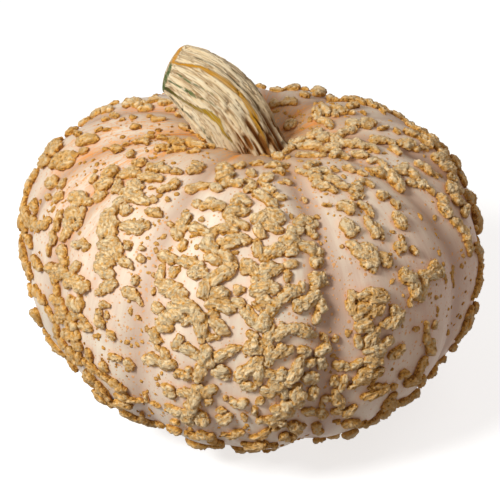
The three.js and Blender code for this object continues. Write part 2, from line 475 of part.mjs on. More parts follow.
// The stem: ridged rings along a curved middle line, a spread foot and a rounded end.
function stemSolid() {
  const foot = new THREE.Vector3(...STEM_FOOT);
  const bend = new THREE.Vector3(...STEM_BEND).add(foot);
  const end = new THREE.Vector3(...STEM_END).add(foot);
  const middle = new THREE.QuadraticBezierCurve3(foot, bend, end);
  const rings = STEM_RADII.map((radius, i) => {
    const at = i / (STEM_RADII.length - 1);
    const ridge = RIDGE_SHARE + FOOT_RIDGE_SHARE * (1 - at) ** FOOT_RIDGE_FALL;
    return { centre: middle.getPoint(at), along: middle.getTangent(at), radius, ridge };
  });
  const tip = rings[rings.length - 1];
  for (const [out, share] of STEM_CAP) {
    const centre = tip.centre.clone().addScaledVector(tip.along, out);
    rings.push({ ...tip, centre, radius: tip.radius * share });
  }
  const vertices = [];
  for (const { centre, along, radius, ridge } of rings) {
    const aside = new THREE.Vector3(0, 1, 0).addScaledVector(along, -along.y).normalize();
    const forward = along.clone().cross(aside);
    for (let i = 0; i < STEM_SIDES; i++) {
      const angle = (2 * Math.PI * i) / STEM_SIDES;
      const lobe = LOBE_SHARE * Math.cos(LOBES * angle + 1);
      const out = radius * (1 + ridge * (Math.cos(STEM_RIDGES * angle) + lobe));
      const point = centre.clone().addScaledVector(aside, out * Math.cos(angle));
      vertices.push(...point.addScaledVector(forward, out * Math.sin(angle)));
    }
  }
  vertices.push(...rings[0].centre, ...tip.centre.clone().addScaledVector(tip.along, STEM_TIP));
  const bottom = rings.length * STEM_SIDES;
  const index = [];
  for (let i = 0; i < STEM_SIDES; i++) {
    const next = (i + 1) % STEM_SIDES;
    for (let ring = 0; ring < rings.length - 1; ring++) {
      const low = ring * STEM_SIDES;
      const high = low + STEM_SIDES;
      index.push(low + i, high + next, high + i, low + i, low + next, high + next);
    }
    index.push(bottom, next, i);
    index.push(bottom + 1, bottom - STEM_SIDES + i, bottom - STEM_SIDES + next);
  }
  const geometry = new THREE.BufferGeometry();
  geometry.setAttribute("position", new THREE.Float32BufferAttribute(vertices, 3));
  geometry.setIndex(index);
  return solidOf(geometry);
}

const skin = skinSolid();
const warty = [...frontWarts(), ...backWarts()].reduce((whole, one) => whole.add(one), skin);
const stemCut = stemSolid().subtract(warty.translate([0, 0, GAP]));

// The floor under the fruit, leaned back into the fruit's own frame, cuts the flat spot.
const floor = new THREE.BoxGeometry(FLOOR_SIDE, FLOOR_SIDE, FLOOR_THICKNESS);
floor.translate(0, 0, -FLOOR_THICKNESS / 2 - CENTRE_HEIGHT).rotateY(-LEAN);
const fruitSolid = warty.subtract(solidOf(floor));

function piece(name, solid, color, roughness) {
  const geometry = geometryOf(solid).rotateY(LEAN).translate(0, 0, CENTRE_HEIGHT);
  geometry.computeVertexNormals();
  const mesh = new THREE.Mesh(geometry, new THREE.MeshStandardMaterial({ color, roughness, metalness: 0 }));
  mesh.name = name;
  return mesh;
}

const squash = new THREE.Group();
squash.name = "winter_squash";
squash.add(piece("fruit", fruitSolid, 0xe3c3ab, 0.6));
squash.add(piece("stem", stemCut, 0xc9b184, 0.9));

export default squash;
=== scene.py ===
# A warty winter squash. The fruit's form and its stem follow the CAD source, from the same named values in
# millimetres in the fruit's own upright frame, and to_world() leans them, lifts them and turns them into
# metres.
import math

import bmesh
import bpy
import numpy as np
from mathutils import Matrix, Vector, kdtree


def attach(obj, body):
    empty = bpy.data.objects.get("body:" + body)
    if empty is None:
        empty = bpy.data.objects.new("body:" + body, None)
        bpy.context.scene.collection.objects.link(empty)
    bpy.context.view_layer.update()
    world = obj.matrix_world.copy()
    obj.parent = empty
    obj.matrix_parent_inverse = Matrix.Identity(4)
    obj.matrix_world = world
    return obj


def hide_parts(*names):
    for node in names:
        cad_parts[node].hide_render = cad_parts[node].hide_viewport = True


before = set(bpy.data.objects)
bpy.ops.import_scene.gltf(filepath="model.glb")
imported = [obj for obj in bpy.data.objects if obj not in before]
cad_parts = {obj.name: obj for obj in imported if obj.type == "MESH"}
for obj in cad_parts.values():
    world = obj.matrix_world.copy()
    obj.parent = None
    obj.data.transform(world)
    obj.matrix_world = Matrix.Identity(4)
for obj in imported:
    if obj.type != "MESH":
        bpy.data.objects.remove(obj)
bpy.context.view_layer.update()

# The fruit's own form, as in the CAD source.
EQUATOR_RADIUS = 147
HALF_HEIGHT = 97
TOP_FULLNESS = 2.6
BOTTOM_FULLNESS = 2.12
THREE_SIDED = 0.038
LEAN = math.radians(3.3)
CENTRE_HEIGHT = 93.5
HOLLOW_DEPTH = 0.17
HOLLOW_REACH = 0.36
GROOVE_DEPTH = 6.6
GROOVE_WIDTH = 7
GROOVES = [
    [3, 1], [31, 0.6], [57, 0.9], [83, 0.8], [108, 0.8], [131, 0.8], [155, 0.8],
    [186, 0.8], [209, 0.8], [242, 0.8], [265, 0.45], [288, 1], [311, 0.25], [335, 0.8],
]

# The stem, as in the CAD source.
STEM_FOOT = [-3, -1, 70]
STEM_BEND = [-17, 2, 45]
STEM_END = [-50, 11, 56]
STEM_RADII = [26, 24.2, 23.6, 23.4, 23, 22.2, 21, 19, 16.6]
STEM_RIDGES = 11

# The view of the photo, and what one of its 500 units is at the fruit's centre.
VIEW_ELEVATION = math.radians(28.6)
VIEW_DISTANCE = 1200
VIEW_UNITS_PER_MM = 1.56
VIEW_CENTRE = [252, 261.7]
VIEW_SIZE = 500

# The warts of the hidden side, as in the CAD source, and the smaller ones that only this file has.
BACK_SEED = 11
BACK_WARTS = 140
BACK_SPACING = 15
BACK_WIDTH = [6, 9.5]
BACK_LENGTH = 12
SMALL_SEED = 5
SMALL_WARTS = 260
SMALL_SPACING = 8.5
SMALL_WIDTH = [2.5, 6]
SMALL_LENGTH = 8

# The rule for both: how many places are tried, how far a wart turns off its rib, in radians, how near the
# pole and how deep in a groove one may stand, and where the bottom is bare.
HIDDEN_TRIES = 20000
HIDDEN_TURN = 2.4
HOLLOW_EDGE = 0.45
GROOVE_EDGE = 0.45
BARE_BOTTOM = math.radians(150)

# Each row is a wart's width and the line that it follows in the front view, x to the right and y down.
FRONT_WARTS = [
    # In the front, the top of the middle ribs.
    [13, 221, 168, 229, 169], [14, 219, 179, 227, 175], [9, 231, 183, 238, 185], [8, 237, 167, 243, 165],
    [9, 251, 173, 254, 176], [10, 246, 191, 253, 187], [12, 264, 180, 270, 177], [10, 266, 186, 271, 192],
    [12, 260, 195, 268, 200, 273, 206], [15, 269, 212, 278, 220], [13, 258, 221, 266, 215],
    [12, 268, 227, 280, 231], [10, 260, 228, 261, 236], [8, 277, 196, 283, 198],
    [10, 189, 190, 199, 187, 208, 186], [10, 203, 208, 210, 203, 221, 208], [9, 214, 187, 218, 190],
    [10, 233, 203, 241, 199, 247, 204], [15, 229, 214, 237, 209, 244, 213],
    [12, 232, 222, 239, 224, 245, 229], [11, 193, 228, 203, 233, 212, 236],
    [12, 213, 233, 223, 228, 232, 232], [10, 239, 239, 248, 241], [8, 254, 164, 262, 163],
    [8, 267, 166, 275, 165], [8, 279, 165, 287, 166], [8, 276, 171, 283, 173], [9, 224, 186, 230, 182],
    [6, 247, 181, 254, 183],
    # In the front, half way down.
    [14, 207, 246, 214, 251], [14, 222, 243, 234, 243], [13, 222, 255, 232, 262], [12, 208, 258, 217, 263],
    [15, 214, 281, 224, 274, 233, 268], [12, 205, 284, 204, 295], [13, 213, 293, 224, 292],
    [13, 247, 267, 255, 270, 256, 280], [14, 265, 275, 272, 269, 280, 270],
    [14, 263, 259, 269, 253, 278, 249], [11, 257, 243, 258, 254], [14, 285, 243, 293, 240],
    [13, 285, 252, 293, 251], [13, 297, 224, 305, 221, 313, 223], [10, 293, 232, 301, 230],
    [10, 309, 231, 313, 237], [13, 302, 247, 311, 248], [12, 312, 252, 319, 253], [12, 313, 264, 319, 262],
    [12, 311, 278, 320, 279], [11, 315, 285, 322, 284], [8, 286, 273, 288, 280], [9, 240, 290, 242, 292],
    [9, 235, 302, 242, 304], [15, 255, 292, 264, 287, 272, 289], [13, 258, 301, 264, 300],
    [7, 287, 266, 296, 264], [7, 300, 285, 301, 288], [5, 312, 288, 312, 291],
    # In the front, below the middle.
    [12, 210, 304, 220, 306, 232, 310], [9, 211, 312, 215, 314], [13, 213, 321, 218, 326],
    [9, 222, 331, 227, 333], [8, 209, 338, 218, 337], [14, 249, 312, 253, 324], [15, 257, 327, 266, 323],
    [11, 276, 304, 270, 312, 264, 319], [13, 281, 301, 287, 294, 295, 291],
    [13, 297, 309, 306, 303, 315, 297], [12, 316, 303, 321, 309], [9, 317, 312, 316, 320],
    [12, 271, 328, 270, 339], [12, 275, 335, 283, 331, 291, 328], [13, 296, 331, 303, 330, 312, 336],
    [12, 270, 349, 270, 362], [12, 274, 355, 280, 352, 290, 348], [11, 300, 350, 305, 352],
    [12, 318, 352, 324, 350], [9, 320, 360, 322, 367], [8, 249, 335, 259, 339], [15, 247, 349, 257, 348],
    [11, 218, 358, 228, 353, 239, 348], [13, 256, 364, 246, 371, 239, 380], [11, 259, 368, 258, 382],
    [11, 245, 386, 254, 388], [11, 266, 373, 274, 376, 281, 374], [14, 272, 383, 280, 386],
    [13, 264, 391, 272, 391], [11, 281, 391, 284, 396], [13, 299, 361, 294, 373, 289, 383],
    [14, 217, 372, 225, 373], [7, 322, 336, 325, 339], [6, 335, 338, 337, 340], [6, 253, 304, 258, 308],
    # In the front, the ribs left of the middle.
    [13, 184, 262, 192, 265, 201, 268], [13, 192, 273, 202, 272], [11, 161, 256, 168, 258, 174, 262],
    [11, 161, 270, 160, 278], [15, 161, 285, 168, 287], [14, 170, 292, 177, 287], [9, 173, 274, 178, 270],
    [9, 182, 294, 185, 298], [13, 172, 305, 182, 304, 192, 308], [14, 176, 312, 182, 317],
    [10, 185, 323, 188, 320], [11, 157, 308, 160, 311], [14, 164, 317, 169, 320], [14, 160, 325, 168, 327],
    [12, 154, 334, 158, 341], [14, 197, 317, 201, 328, 202, 340], [14, 203, 350, 207, 362],
    [11, 179, 340, 176, 347], [10, 185, 348, 194, 352, 202, 357], [11, 163, 352, 166, 357],
    [12, 152, 360, 160, 363], [14, 165, 365, 172, 366], [12, 202, 368, 196, 379],
    [8, 179, 372, 186, 377, 190, 371], [11, 181, 393, 190, 395], [13, 195, 389, 194, 401, 193, 411],
    [8, 164, 386, 172, 389], [9, 168, 394, 175, 396], [12, 203, 392, 212, 392], [8, 206, 403, 210, 402],
    [6, 157, 346, 159, 349], [6, 145, 358, 149, 364], [5, 175, 373, 176, 376],
    # In the front, along the bottom.
    [11, 169, 408, 176, 411, 183, 415], [13, 186, 413, 190, 423], [14, 200, 414, 202, 423],
    [8, 173, 422, 177, 423], [9, 174, 430, 179, 431], [11, 189, 434, 197, 436], [12, 202, 434, 210, 437],
    [10, 213, 442, 220, 443], [9, 217, 418, 224, 421, 229, 416], [8, 224, 435, 232, 436, 240, 432],
    [13, 246, 445, 255, 447, 262, 444], [8, 251, 438, 261, 436, 268, 431], [9, 269, 446, 275, 445],
    [9, 233, 403, 235, 402], [9, 242, 403, 247, 402], [9, 259, 402, 262, 400], [7, 254, 408, 257, 415],
    [13, 262, 421, 272, 420, 281, 424], [14, 277, 410, 286, 413], [12, 287, 404, 290, 413],
    [15, 296, 390, 297, 402], [12, 283, 436, 291, 437], [13, 293, 425, 298, 429], [6, 243, 415, 244, 417],
    [6, 226, 398, 227, 400], [5, 219, 410, 225, 410], [5, 271, 430, 279, 428],
    # Right of the front, along the bottom.
    [13, 306, 378, 313, 379], [9, 313, 388, 312, 397], [9, 305, 412, 314, 413], [10, 318, 413, 326, 416],
    [7, 324, 398, 331, 399], [9, 337, 365, 343, 365], [9, 346, 366, 353, 366, 360, 363],
    [9, 334, 379, 336, 384], [9, 344, 379, 343, 388], [9, 337, 392, 338, 400, 342, 406],
    [8, 334, 412, 340, 411], [11, 348, 414, 353, 408], [14, 348, 424, 356, 424], [9, 360, 426, 364, 423],
    [8, 366, 424, 373, 422, 379, 419], [13, 364, 372, 373, 374, 381, 372], [11, 358, 381, 367, 380],
    [11, 364, 398, 374, 394, 384, 389], [12, 383, 413, 390, 414], [12, 387, 403, 393, 406],
    [10, 402, 402, 410, 401], [9, 315, 425, 318, 431], [13, 409, 382, 417, 381], [8, 402, 375, 407, 374],
    [7, 423, 378, 421, 386], [11, 424, 361, 420, 371, 417, 379], [6, 321, 403, 322, 409],
    [6, 349, 388, 355, 385], [5, 337, 422, 340, 421], [5, 391, 387, 396, 386], [6, 417, 393, 414, 397],
    [7, 391, 396, 395, 395], [8, 304, 364, 311, 362], [7, 369, 388, 380, 386],
    # Right of the front, half way down.
    [12, 430, 345, 434, 352], [8, 426, 323, 427, 332, 426, 340], [15, 370, 350, 378, 352],
    [15, 371, 361, 380, 362], [12, 369, 343, 375, 335, 378, 330], [11, 383, 346, 390, 341],
    [10, 391, 356, 400, 350], [14, 363, 325, 371, 324], [11, 358, 338, 360, 343], [9, 355, 316, 359, 316],
    [14, 361, 297, 372, 294, 381, 298], [14, 360, 308, 370, 309], [13, 374, 312, 381, 305],
    [9, 351, 293, 351, 302, 353, 310], [15, 390, 325, 398, 318], [10, 394, 309, 402, 315],
    [15, 404, 275, 413, 281], [13, 414, 288, 416, 296], [10, 425, 281, 424, 292, 421, 299],
    [11, 422, 276, 431, 275, 440, 273], [11, 431, 270, 437, 267], [11, 341, 207, 347, 205, 353, 212],
    [13, 345, 222, 350, 229], [10, 350, 235, 357, 231], [9, 361, 206, 368, 207, 371, 214],
    [9, 367, 219, 372, 227, 377, 235], [9, 377, 228, 383, 237], [13, 353, 246, 360, 251, 366, 258],
    [13, 366, 248, 371, 255], [12, 366, 265, 373, 262, 375, 269], [12, 380, 259, 388, 261],
    [11, 398, 247, 402, 247], [16, 400, 221, 404, 225], [9, 395, 203, 398, 207], [8, 413, 250, 416, 252],
    [5, 414, 329, 419, 329], [5, 436, 322, 434, 328], [6, 410, 300, 410, 305], [4, 324, 205, 330, 206],
    [4, 303, 198, 306, 202], [5, 401, 237, 402, 240],
    # Right of the front, the shoulder and the far side.
    [12, 376, 172, 386, 176], [13, 388, 173, 396, 179], [13, 397, 181, 401, 189],
    [10, 396, 170, 408, 169, 417, 176], [8, 411, 183, 424, 183], [12, 441, 198, 446, 201],
    [13, 444, 207, 448, 211], [13, 451, 189, 459, 189], [13, 456, 196, 460, 201], [10, 465, 204, 465, 212],
    [12, 475, 209, 477, 219], [10, 454, 220, 461, 225, 466, 233], [9, 466, 233, 469, 244, 471, 254],
    [9, 477, 247, 481, 258], [9, 482, 266, 479, 284, 474, 297], [7, 471, 308, 468, 317],
    [6, 466, 323, 464, 331, 457, 340], [9, 341, 186, 348, 188], [12, 352, 191, 358, 190],
    [8, 354, 198, 361, 195], [9, 360, 184, 366, 181, 373, 186], [9, 382, 196, 388, 196],
    [9, 315, 185, 322, 183], [9, 323, 188, 331, 187, 335, 191], [9, 313, 178, 320, 178],
    [9, 325, 179, 333, 179, 338, 183], [9, 308, 166, 316, 164], [9, 316, 172, 323, 170, 328, 173],
    [7, 346, 168, 354, 171], [8, 382, 161, 385, 167], [10, 420, 165, 426, 168, 431, 172],
    [12, 437, 158, 447, 158], [12, 443, 166, 453, 169], [9, 441, 152, 448, 154], [10, 454, 160, 460, 170],
    [10, 452, 178, 457, 182], [9, 461, 174, 465, 182], [11, 402, 143, 411, 145], [9, 396, 149, 399, 153],
    [8, 391, 141, 394, 145], [10, 409, 132, 418, 135], [11, 423, 138, 430, 145], [10, 432, 138, 437, 147],
    [9, 396, 114, 405, 118, 410, 124], [10, 414, 124, 422, 127, 428, 134], [9, 466, 192, 471, 199],
    [6, 370, 161, 377, 160], [5, 359, 172, 366, 175], [5, 335, 170, 339, 171],
    [6, 297, 170, 305, 173, 312, 175], [5, 435, 175, 438, 178], [7, 427, 186, 434, 193],
    [6, 415, 148, 418, 150], [6, 422, 147, 428, 149], [7, 397, 130, 400, 132], [4, 380, 129, 388, 127],
    [6, 285, 181, 289, 183],
    # Behind the stem and round its hollow.
    [9, 303, 94, 306, 95], [8, 315, 94, 321, 93], [8, 330, 98, 339, 97], [9, 347, 98, 356, 96],
    [9, 350, 106, 357, 105], [9, 361, 99, 364, 103], [10, 370, 99, 375, 106],
    [10, 378, 100, 386, 103, 390, 108], [10, 275, 88, 282, 88], [8, 292, 89, 295, 89],
    [9, 318, 110, 317, 116], [9, 325, 108, 328, 114], [8, 322, 121, 328, 121, 332, 126],
    [10, 334, 113, 340, 110, 345, 111], [10, 341, 132, 348, 129, 354, 129], [10, 352, 124, 361, 124],
    [11, 364, 124, 372, 121, 376, 123], [9, 308, 137, 315, 134, 321, 131], [13, 322, 139, 329, 136],
    [11, 332, 136, 337, 141], [9, 297, 142, 305, 140], [10, 302, 147, 312, 145, 321, 146],
    [11, 325, 149, 333, 146, 340, 150], [10, 344, 143, 354, 144, 363, 144], [9, 364, 146, 372, 146, 377, 150],
    [9, 357, 155, 363, 153, 368, 156], [9, 332, 156, 338, 154, 346, 157], [9, 375, 141, 383, 139, 390, 140],
    [8, 300, 155, 312, 155, 325, 155], [9, 275, 102, 276, 104], [9, 286, 103, 293, 101],
    [9, 288, 126, 294, 121], [6, 322, 106, 326, 106], [5, 349, 113, 353, 113], [5, 363, 112, 366, 114],
    [6, 380, 108, 384, 113], [10, 172, 141, 181, 143], [9, 176, 149, 182, 150],
    [10, 186, 142, 193, 145, 201, 147], [8, 156, 148, 165, 147], [6, 190, 152, 198, 151],
    [7, 204, 146, 211, 147], [6, 190, 131, 198, 134, 203, 139], [6, 181, 126, 187, 129],
    [8, 275, 154, 282, 157], [7, 288, 143, 296, 146], [8, 285, 152, 292, 148],
    # Left of the front, the shoulder.
    [10, 189, 171, 197, 169], [8, 195, 164, 203, 166], [12, 149, 169, 157, 167], [8, 160, 169, 165, 170],
    [11, 140, 178, 150, 177, 159, 179], [12, 122, 176, 130, 172, 136, 174], [10, 135, 164, 142, 161],
    [9, 158, 190, 165, 189], [10, 166, 188, 173, 184], [14, 105, 173, 111, 170], [8, 112, 148, 118, 149],
    [10, 125, 104, 132, 102, 138, 104], [7, 148, 101, 157, 99], [8, 161, 102, 170, 102],
    [8, 143, 109, 150, 108], [12, 131, 184, 138, 188], [13, 125, 195, 135, 198, 144, 203],
    [10, 117, 183, 117, 190], [12, 117, 204, 122, 201], [10, 124, 205, 124, 213],
    [12, 79, 142, 87, 139, 93, 139], [14, 52, 165, 58, 159, 66, 157], [12, 60, 166, 68, 163],
    [9, 71, 157, 73, 155], [11, 57, 141, 56, 148], [11, 66, 132, 73, 130], [10, 81, 121, 86, 119],
    [8, 92, 115, 97, 113], [8, 104, 110, 110, 109], [11, 42, 157, 44, 163], [10, 46, 153, 53, 152],
    [10, 31, 169, 33, 178], [9, 27, 184, 24, 192], [9, 22, 197, 21, 205], [7, 172, 172, 179, 172],
    [6, 135, 142, 141, 140, 147, 143], [6, 145, 138, 152, 137], [6, 157, 137, 165, 139],
    [6, 133, 127, 138, 126], [6, 153, 119, 161, 119], [6, 166, 109, 171, 109], [5, 175, 114, 178, 115],
    [5, 110, 115, 116, 117], [7, 128, 156, 130, 153], [7, 90, 181, 93, 178], [7, 80, 152, 85, 150],
    [6, 75, 133, 78, 134], [6, 168, 152, 173, 151], [4, 150, 188, 154, 188], [5, 142, 102, 145, 103],
    # Left of the front, half way down.
    [13, 97, 190, 103, 187], [12, 99, 197, 102, 196], [15, 72, 198, 79, 199], [9, 84, 203, 88, 202],
    [11, 80, 211, 79, 217], [13, 67, 212, 72, 213], [12, 67, 223, 69, 232], [9, 73, 226, 78, 225],
    [9, 59, 212, 57, 220, 56, 227], [9, 52, 234, 52, 242], [10, 76, 245, 84, 243], [8, 84, 249, 88, 247],
    [12, 58, 250, 63, 253], [8, 55, 200, 60, 194], [12, 47, 183, 54, 182], [8, 61, 186, 64, 180],
    [10, 33, 203, 35, 209], [12, 20, 214, 20, 225], [12, 24, 211, 28, 219], [11, 32, 222, 38, 227],
    [9, 25, 228, 24, 235], [8, 48, 219, 43, 226], [10, 19, 237, 20, 246], [11, 23, 248, 25, 260],
    [8, 27, 238, 31, 246], [9, 33, 258, 39, 266], [9, 27, 266, 31, 275], [14, 107, 214, 112, 213],
    [14, 103, 222, 103, 234], [13, 112, 220, 110, 234], [12, 121, 226, 130, 227, 138, 230],
    [8, 139, 229, 145, 226], [15, 101, 247, 111, 246], [15, 99, 257, 109, 256], [12, 117, 249, 118, 258],
    [14, 98, 266, 107, 267], [12, 103, 273, 111, 273], [9, 121, 262, 127, 265], [8, 125, 243, 127, 246],
    [10, 148, 212, 154, 213, 158, 213], [8, 151, 200, 153, 200], [13, 185, 219, 182, 229],
    [13, 176, 231, 178, 237], [9, 184, 244, 181, 250], [7, 139, 256, 140, 259], [8, 194, 204, 197, 206],
    [8, 65, 234, 61, 240], [8, 62, 262, 66, 264], [6, 47, 197, 49, 199], [6, 49, 246, 48, 254],
    [6, 170, 224, 172, 225], [5, 191, 237, 195, 235], [5, 201, 220, 203, 220], [5, 184, 214, 187, 211],
    [4, 130, 267, 132, 269], [4, 140, 248, 142, 249],
    # Left of the front, along the bottom.
    [10, 35, 287, 37, 294], [10, 40, 298, 44, 302], [8, 45, 306, 50, 313], [7, 53, 317, 55, 322],
    [13, 57, 328, 58, 335], [10, 61, 341, 65, 346], [14, 71, 353, 74, 361], [10, 79, 356, 80, 364],
    [13, 88, 364, 92, 368], [13, 88, 375, 92, 380], [13, 99, 386, 104, 394], [10, 53, 274, 55, 284],
    [9, 56, 288, 58, 294], [13, 48, 267, 53, 268], [12, 57, 273, 64, 272], [10, 72, 271, 77, 266],
    [14, 68, 281, 78, 280], [13, 77, 288, 85, 285], [14, 70, 301, 74, 307], [9, 79, 297, 79, 307],
    [10, 53, 301, 62, 301], [12, 57, 309, 65, 313], [9, 56, 317, 62, 320], [9, 68, 316, 76, 316],
    [11, 67, 325, 74, 325], [9, 81, 326, 90, 328], [11, 65, 335, 73, 335], [9, 77, 333, 77, 339],
    [10, 73, 345, 79, 346], [9, 87, 351, 90, 360], [10, 98, 319, 102, 326], [7, 98, 311, 99, 313],
    [7, 110, 334, 113, 337], [8, 110, 356, 118, 359], [8, 126, 362, 131, 368], [8, 102, 363, 105, 370],
    [10, 96, 293, 104, 289, 112, 285], [7, 134, 278, 134, 283], [9, 126, 291, 133, 295, 138, 299],
    [9, 97, 371, 105, 377, 113, 383], [9, 118, 386, 121, 391], [11, 110, 402, 118, 405, 127, 404],
    [10, 117, 396, 125, 397], [10, 122, 412, 130, 416, 137, 420], [8, 142, 420, 150, 424, 160, 428],
    [6, 128, 399, 136, 401, 143, 401], [6, 102, 304, 108, 306], [6, 106, 313, 107, 317],
    [5, 140, 301, 141, 304], [5, 137, 317, 140, 319], [4, 154, 288, 153, 295], [4, 153, 274, 153, 277],
    [5, 145, 394, 147, 400], [5, 151, 403, 159, 406], [5, 79, 316, 85, 320], [4, 141, 413, 142, 418],
    [4, 129, 117, 133, 118], [4, 102, 120, 107, 119], [4, 104, 130, 109, 129], [4, 119, 120, 123, 119],
    [4, 95, 131, 100, 129], [4, 123, 145, 127, 144], [3, 93, 172, 96, 170], [3, 155, 130, 159, 130],
    [3, 166, 198, 167, 201], [4, 146, 116, 151, 115],
]


def smoothstep(low, high, value):
    share = np.clip((value - low) / (high - low), 0, 1)
    return share * share * (3 - 2 * share)


def unit(vectors):
    return vectors / np.linalg.norm(vectors, axis=-1, keepdims=True)


# Smooth noise from -1 to 1 at points: a seeded random value at every corner of a grid of unit cells.
def noise(points, seed):
    table = np.random.default_rng(seed).random(4096) * 2 - 1
    cell = np.floor(points).astype(np.int64)
    part = points - cell
    part = part * part * part * (part * (part * 6 - 15) + 10)
    total = np.zeros(len(points))
    for corner in range(8):
        bits = np.array([corner & 1, corner >> 1 & 1, corner >> 2 & 1])
        at = cell + bits
        key = (at[:, 0] * 73856093) ^ (at[:, 1] * 19349663) ^ (at[:, 2] * 83492791)
        key = (key ^ (key >> 13)) & 4095
        total += table[key] * np.prod(np.where(bits, part, 1 - part), axis=1)
    return total


def octaves(points, seed, count):
    return sum(noise(points * 2.03**i, seed + i) * 0.5**i for i in range(count))


# How far degrees round an axis are from a place there, the shorter way.
def turn_from(degrees, at):
    return np.abs((degrees - at + 180) % 360 - 180)


# How deep the grooves cut at a longitude, from 0 on a crest to 1 in the deepest groove.
def groove_share(longitude):
    share = 0
    for at, depth in GROOVES:
        share = share + depth * np.exp(-((turn_from(np.degrees(longitude), at) / GROOVE_WIDTH) ** 1.6))
    return share


def skin_radius(from_pole, longitude):
    across = np.abs(np.sin(from_pole))
    along = np.abs(np.cos(from_pole))
    fullness = np.where(from_pole < math.pi / 2, TOP_FULLNESS, BOTTOM_FULLNESS)
    globe = ((across / EQUATOR_RADIUS) ** fullness + (along / HALF_HEIGHT) ** fullness) ** (-1 / fullness)
    hollow = 1 - HOLLOW_DEPTH * np.exp(-((from_pole / HOLLOW_REACH) ** 2))
    sides = 1 + THREE_SIDED * np.sin(3 * longitude) * across**3
    return globe * hollow * sides - GROOVE_DEPTH * groove_share(longitude) * across**0.75


def angles(points):
    directions = unit(points)
    return np.arccos(np.clip(directions[:, 2], -1, 1)), np.arctan2(directions[:, 1], directions[:, 0])


def on_skin(points):
    return unit(points) * skin_radius(*angles(points))[:, None]


# The slight unevenness of the skin between its ribs.
def wave(points):
    directions = unit(points)
    return 0.7 * noise(directions * 6, seed=1) + 0.35 * noise(directions * 17, seed=2)


# How far points stand over the skin, measured from the fruit's centre.
def over_skin(points):
    return np.linalg.norm(points, axis=1) - skin_radius(*angles(points))


def skin_normal(points):
    out = unit(points)
    east = unit(np.stack([-out[:, 1], out[:, 0], 0 * out[:, 0]], axis=1))
    north = np.cross(out, east)
    step = 0.03
    slopes = [on_skin(out + step * side) - on_skin(out - step * side) for side in (east, north)]
    return unit(np.cross(*slopes))


def turn_y(points, angle):
    x, y, z = np.asarray(points, float).T
    return np.stack(
        [x * math.cos(angle) + z * math.sin(angle), y, z * math.cos(angle) - x * math.sin(angle)], axis=1
    )


def to_world(points):
    return (turn_y(points, LEAN) + [0, 0, CENTRE_HEIGHT]) / 1000


# The same, with nothing below the floor.
def over_floor(points):
    world = to_world(points)
    world[:, 2] = np.maximum(world[:, 2], 0)
    return world


view_back, view_right = turn_y(
    [[0, -math.cos(VIEW_ELEVATION), math.sin(VIEW_ELEVATION)], [1, 0, 0]], -LEAN
)
view_up = np.cross(view_back, view_right)
eye = view_back * VIEW_DISTANCE


# How far before and behind the fruit's centre a sight line is followed, in steps that are then halved.
NEAR_SIDE = 180
FAR_SIDE = 60
SIGHT_STEP = 3
HALVINGS = 20


# Where the sight lines through points of the picture meet the skin, for things that stand this far over it. A
# line that misses the fruit gives the point of the skin that it passes closest to.
def seen_points(picture, standing):
    lines = unit(
        -eye
        + (picture[:, :1] - VIEW_CENTRE[0]) / VIEW_UNITS_PER_MM * view_right
        + (VIEW_CENTRE[1] - picture[:, 1:]) / VIEW_UNITS_PER_MM * view_up
    )

    def over(distance):
        return over_skin(eye + lines * distance[:, None]) - standing

    nearest = np.full(len(picture), float(VIEW_DISTANCE - NEAR_SIDE))
    least = over(nearest)
    for distance in np.arange(nearest[0], VIEW_DISTANCE + FAR_SIDE, SIGHT_STEP):
        here = over(np.full(len(picture), distance))
        closer = (least > 0) & (here < least)
        nearest = np.where(closer, distance, nearest)
        least = np.where(closer, here, least)
    inside = nearest
    outside = nearest - SIGHT_STEP
    for _ in range(HALVINGS):
        middle = (outside + inside) / 2
        deep = over(middle) < 0
        inside = np.where((least < 0) & deep, middle, inside)
        outside = np.where(deep, outside, middle)
    return on_skin(eye + lines * inside[:, None])


# A wart's height by its width, as in the CAD source.
def height_of(width):
    return 1.5 + 0.27 * width


# How far along a line each of its points is.
def reach_of(line):
    return np.concatenate([[0], np.cumsum(np.linalg.norm(np.diff(line, axis=0), axis=1))])


# The points of the skin that are this far along a line.
def along_line(line, at):
    reach = reach_of(line)
    return on_skin(np.stack([np.interp(at, reach, line[:, k]) for k in range(3)], axis=1))


# A line near the fruit's edge in the photo can run far back. Where less than this share of its length is
# seen, it is a row of warts, not a single one: their length, their widths by turns as shares, and the gap
# between them.
EDGE_ON = 0.72
PART_LENGTH = 12
PART_WIDTHS = [1.08, 0.86, 0.98]
PART_GAP = 1.2


def parted(line, width):
    length = reach_of(line)[-1]
    count = int((length + width) // (PART_LENGTH + 0.5 * width))
    seen_share = np.linalg.norm(np.cross(line[-1] - line[0], unit(eye - line[0]))) / (length + 0.01)
    if count < 2 or seen_share > EDGE_ON:
        return [(1, line)]
    gap = 0.5 * width + PART_GAP
    parts = []
    for i in range(count):
        low = i / count * length + gap * (i > 0)
        high = max((i + 1) / count * length - gap * (i < count - 1), low + 1)
        parts.append((PART_WIDTHS[i % len(PART_WIDTHS)], along_line(line, np.linspace(low, high, 3))))
    return parts


# A wart is its width, its height and the points of the skin that it follows.
def front_warts():
    rows = [(row[0], np.array(row[1:], float).reshape(-1, 2)) for row in FRONT_WARTS]
    picture = np.concatenate([places for _, places in rows])
    widths = np.repeat([float(width) for width, _ in rows], [len(places) for _, places in rows])
    points = seen_points(picture, height_of(widths / VIEW_UNITS_PER_MM) / 2)
    made = []
    for picture_width, places in rows:
        line, points = points[: len(places)], points[len(places) :]
        width = picture_width * np.linalg.norm(eye - line[0]) / (VIEW_DISTANCE * VIEW_UNITS_PER_MM)
        made += [(share * width, height_of(share * width), part) for share, part in parted(line, width)]
    return made


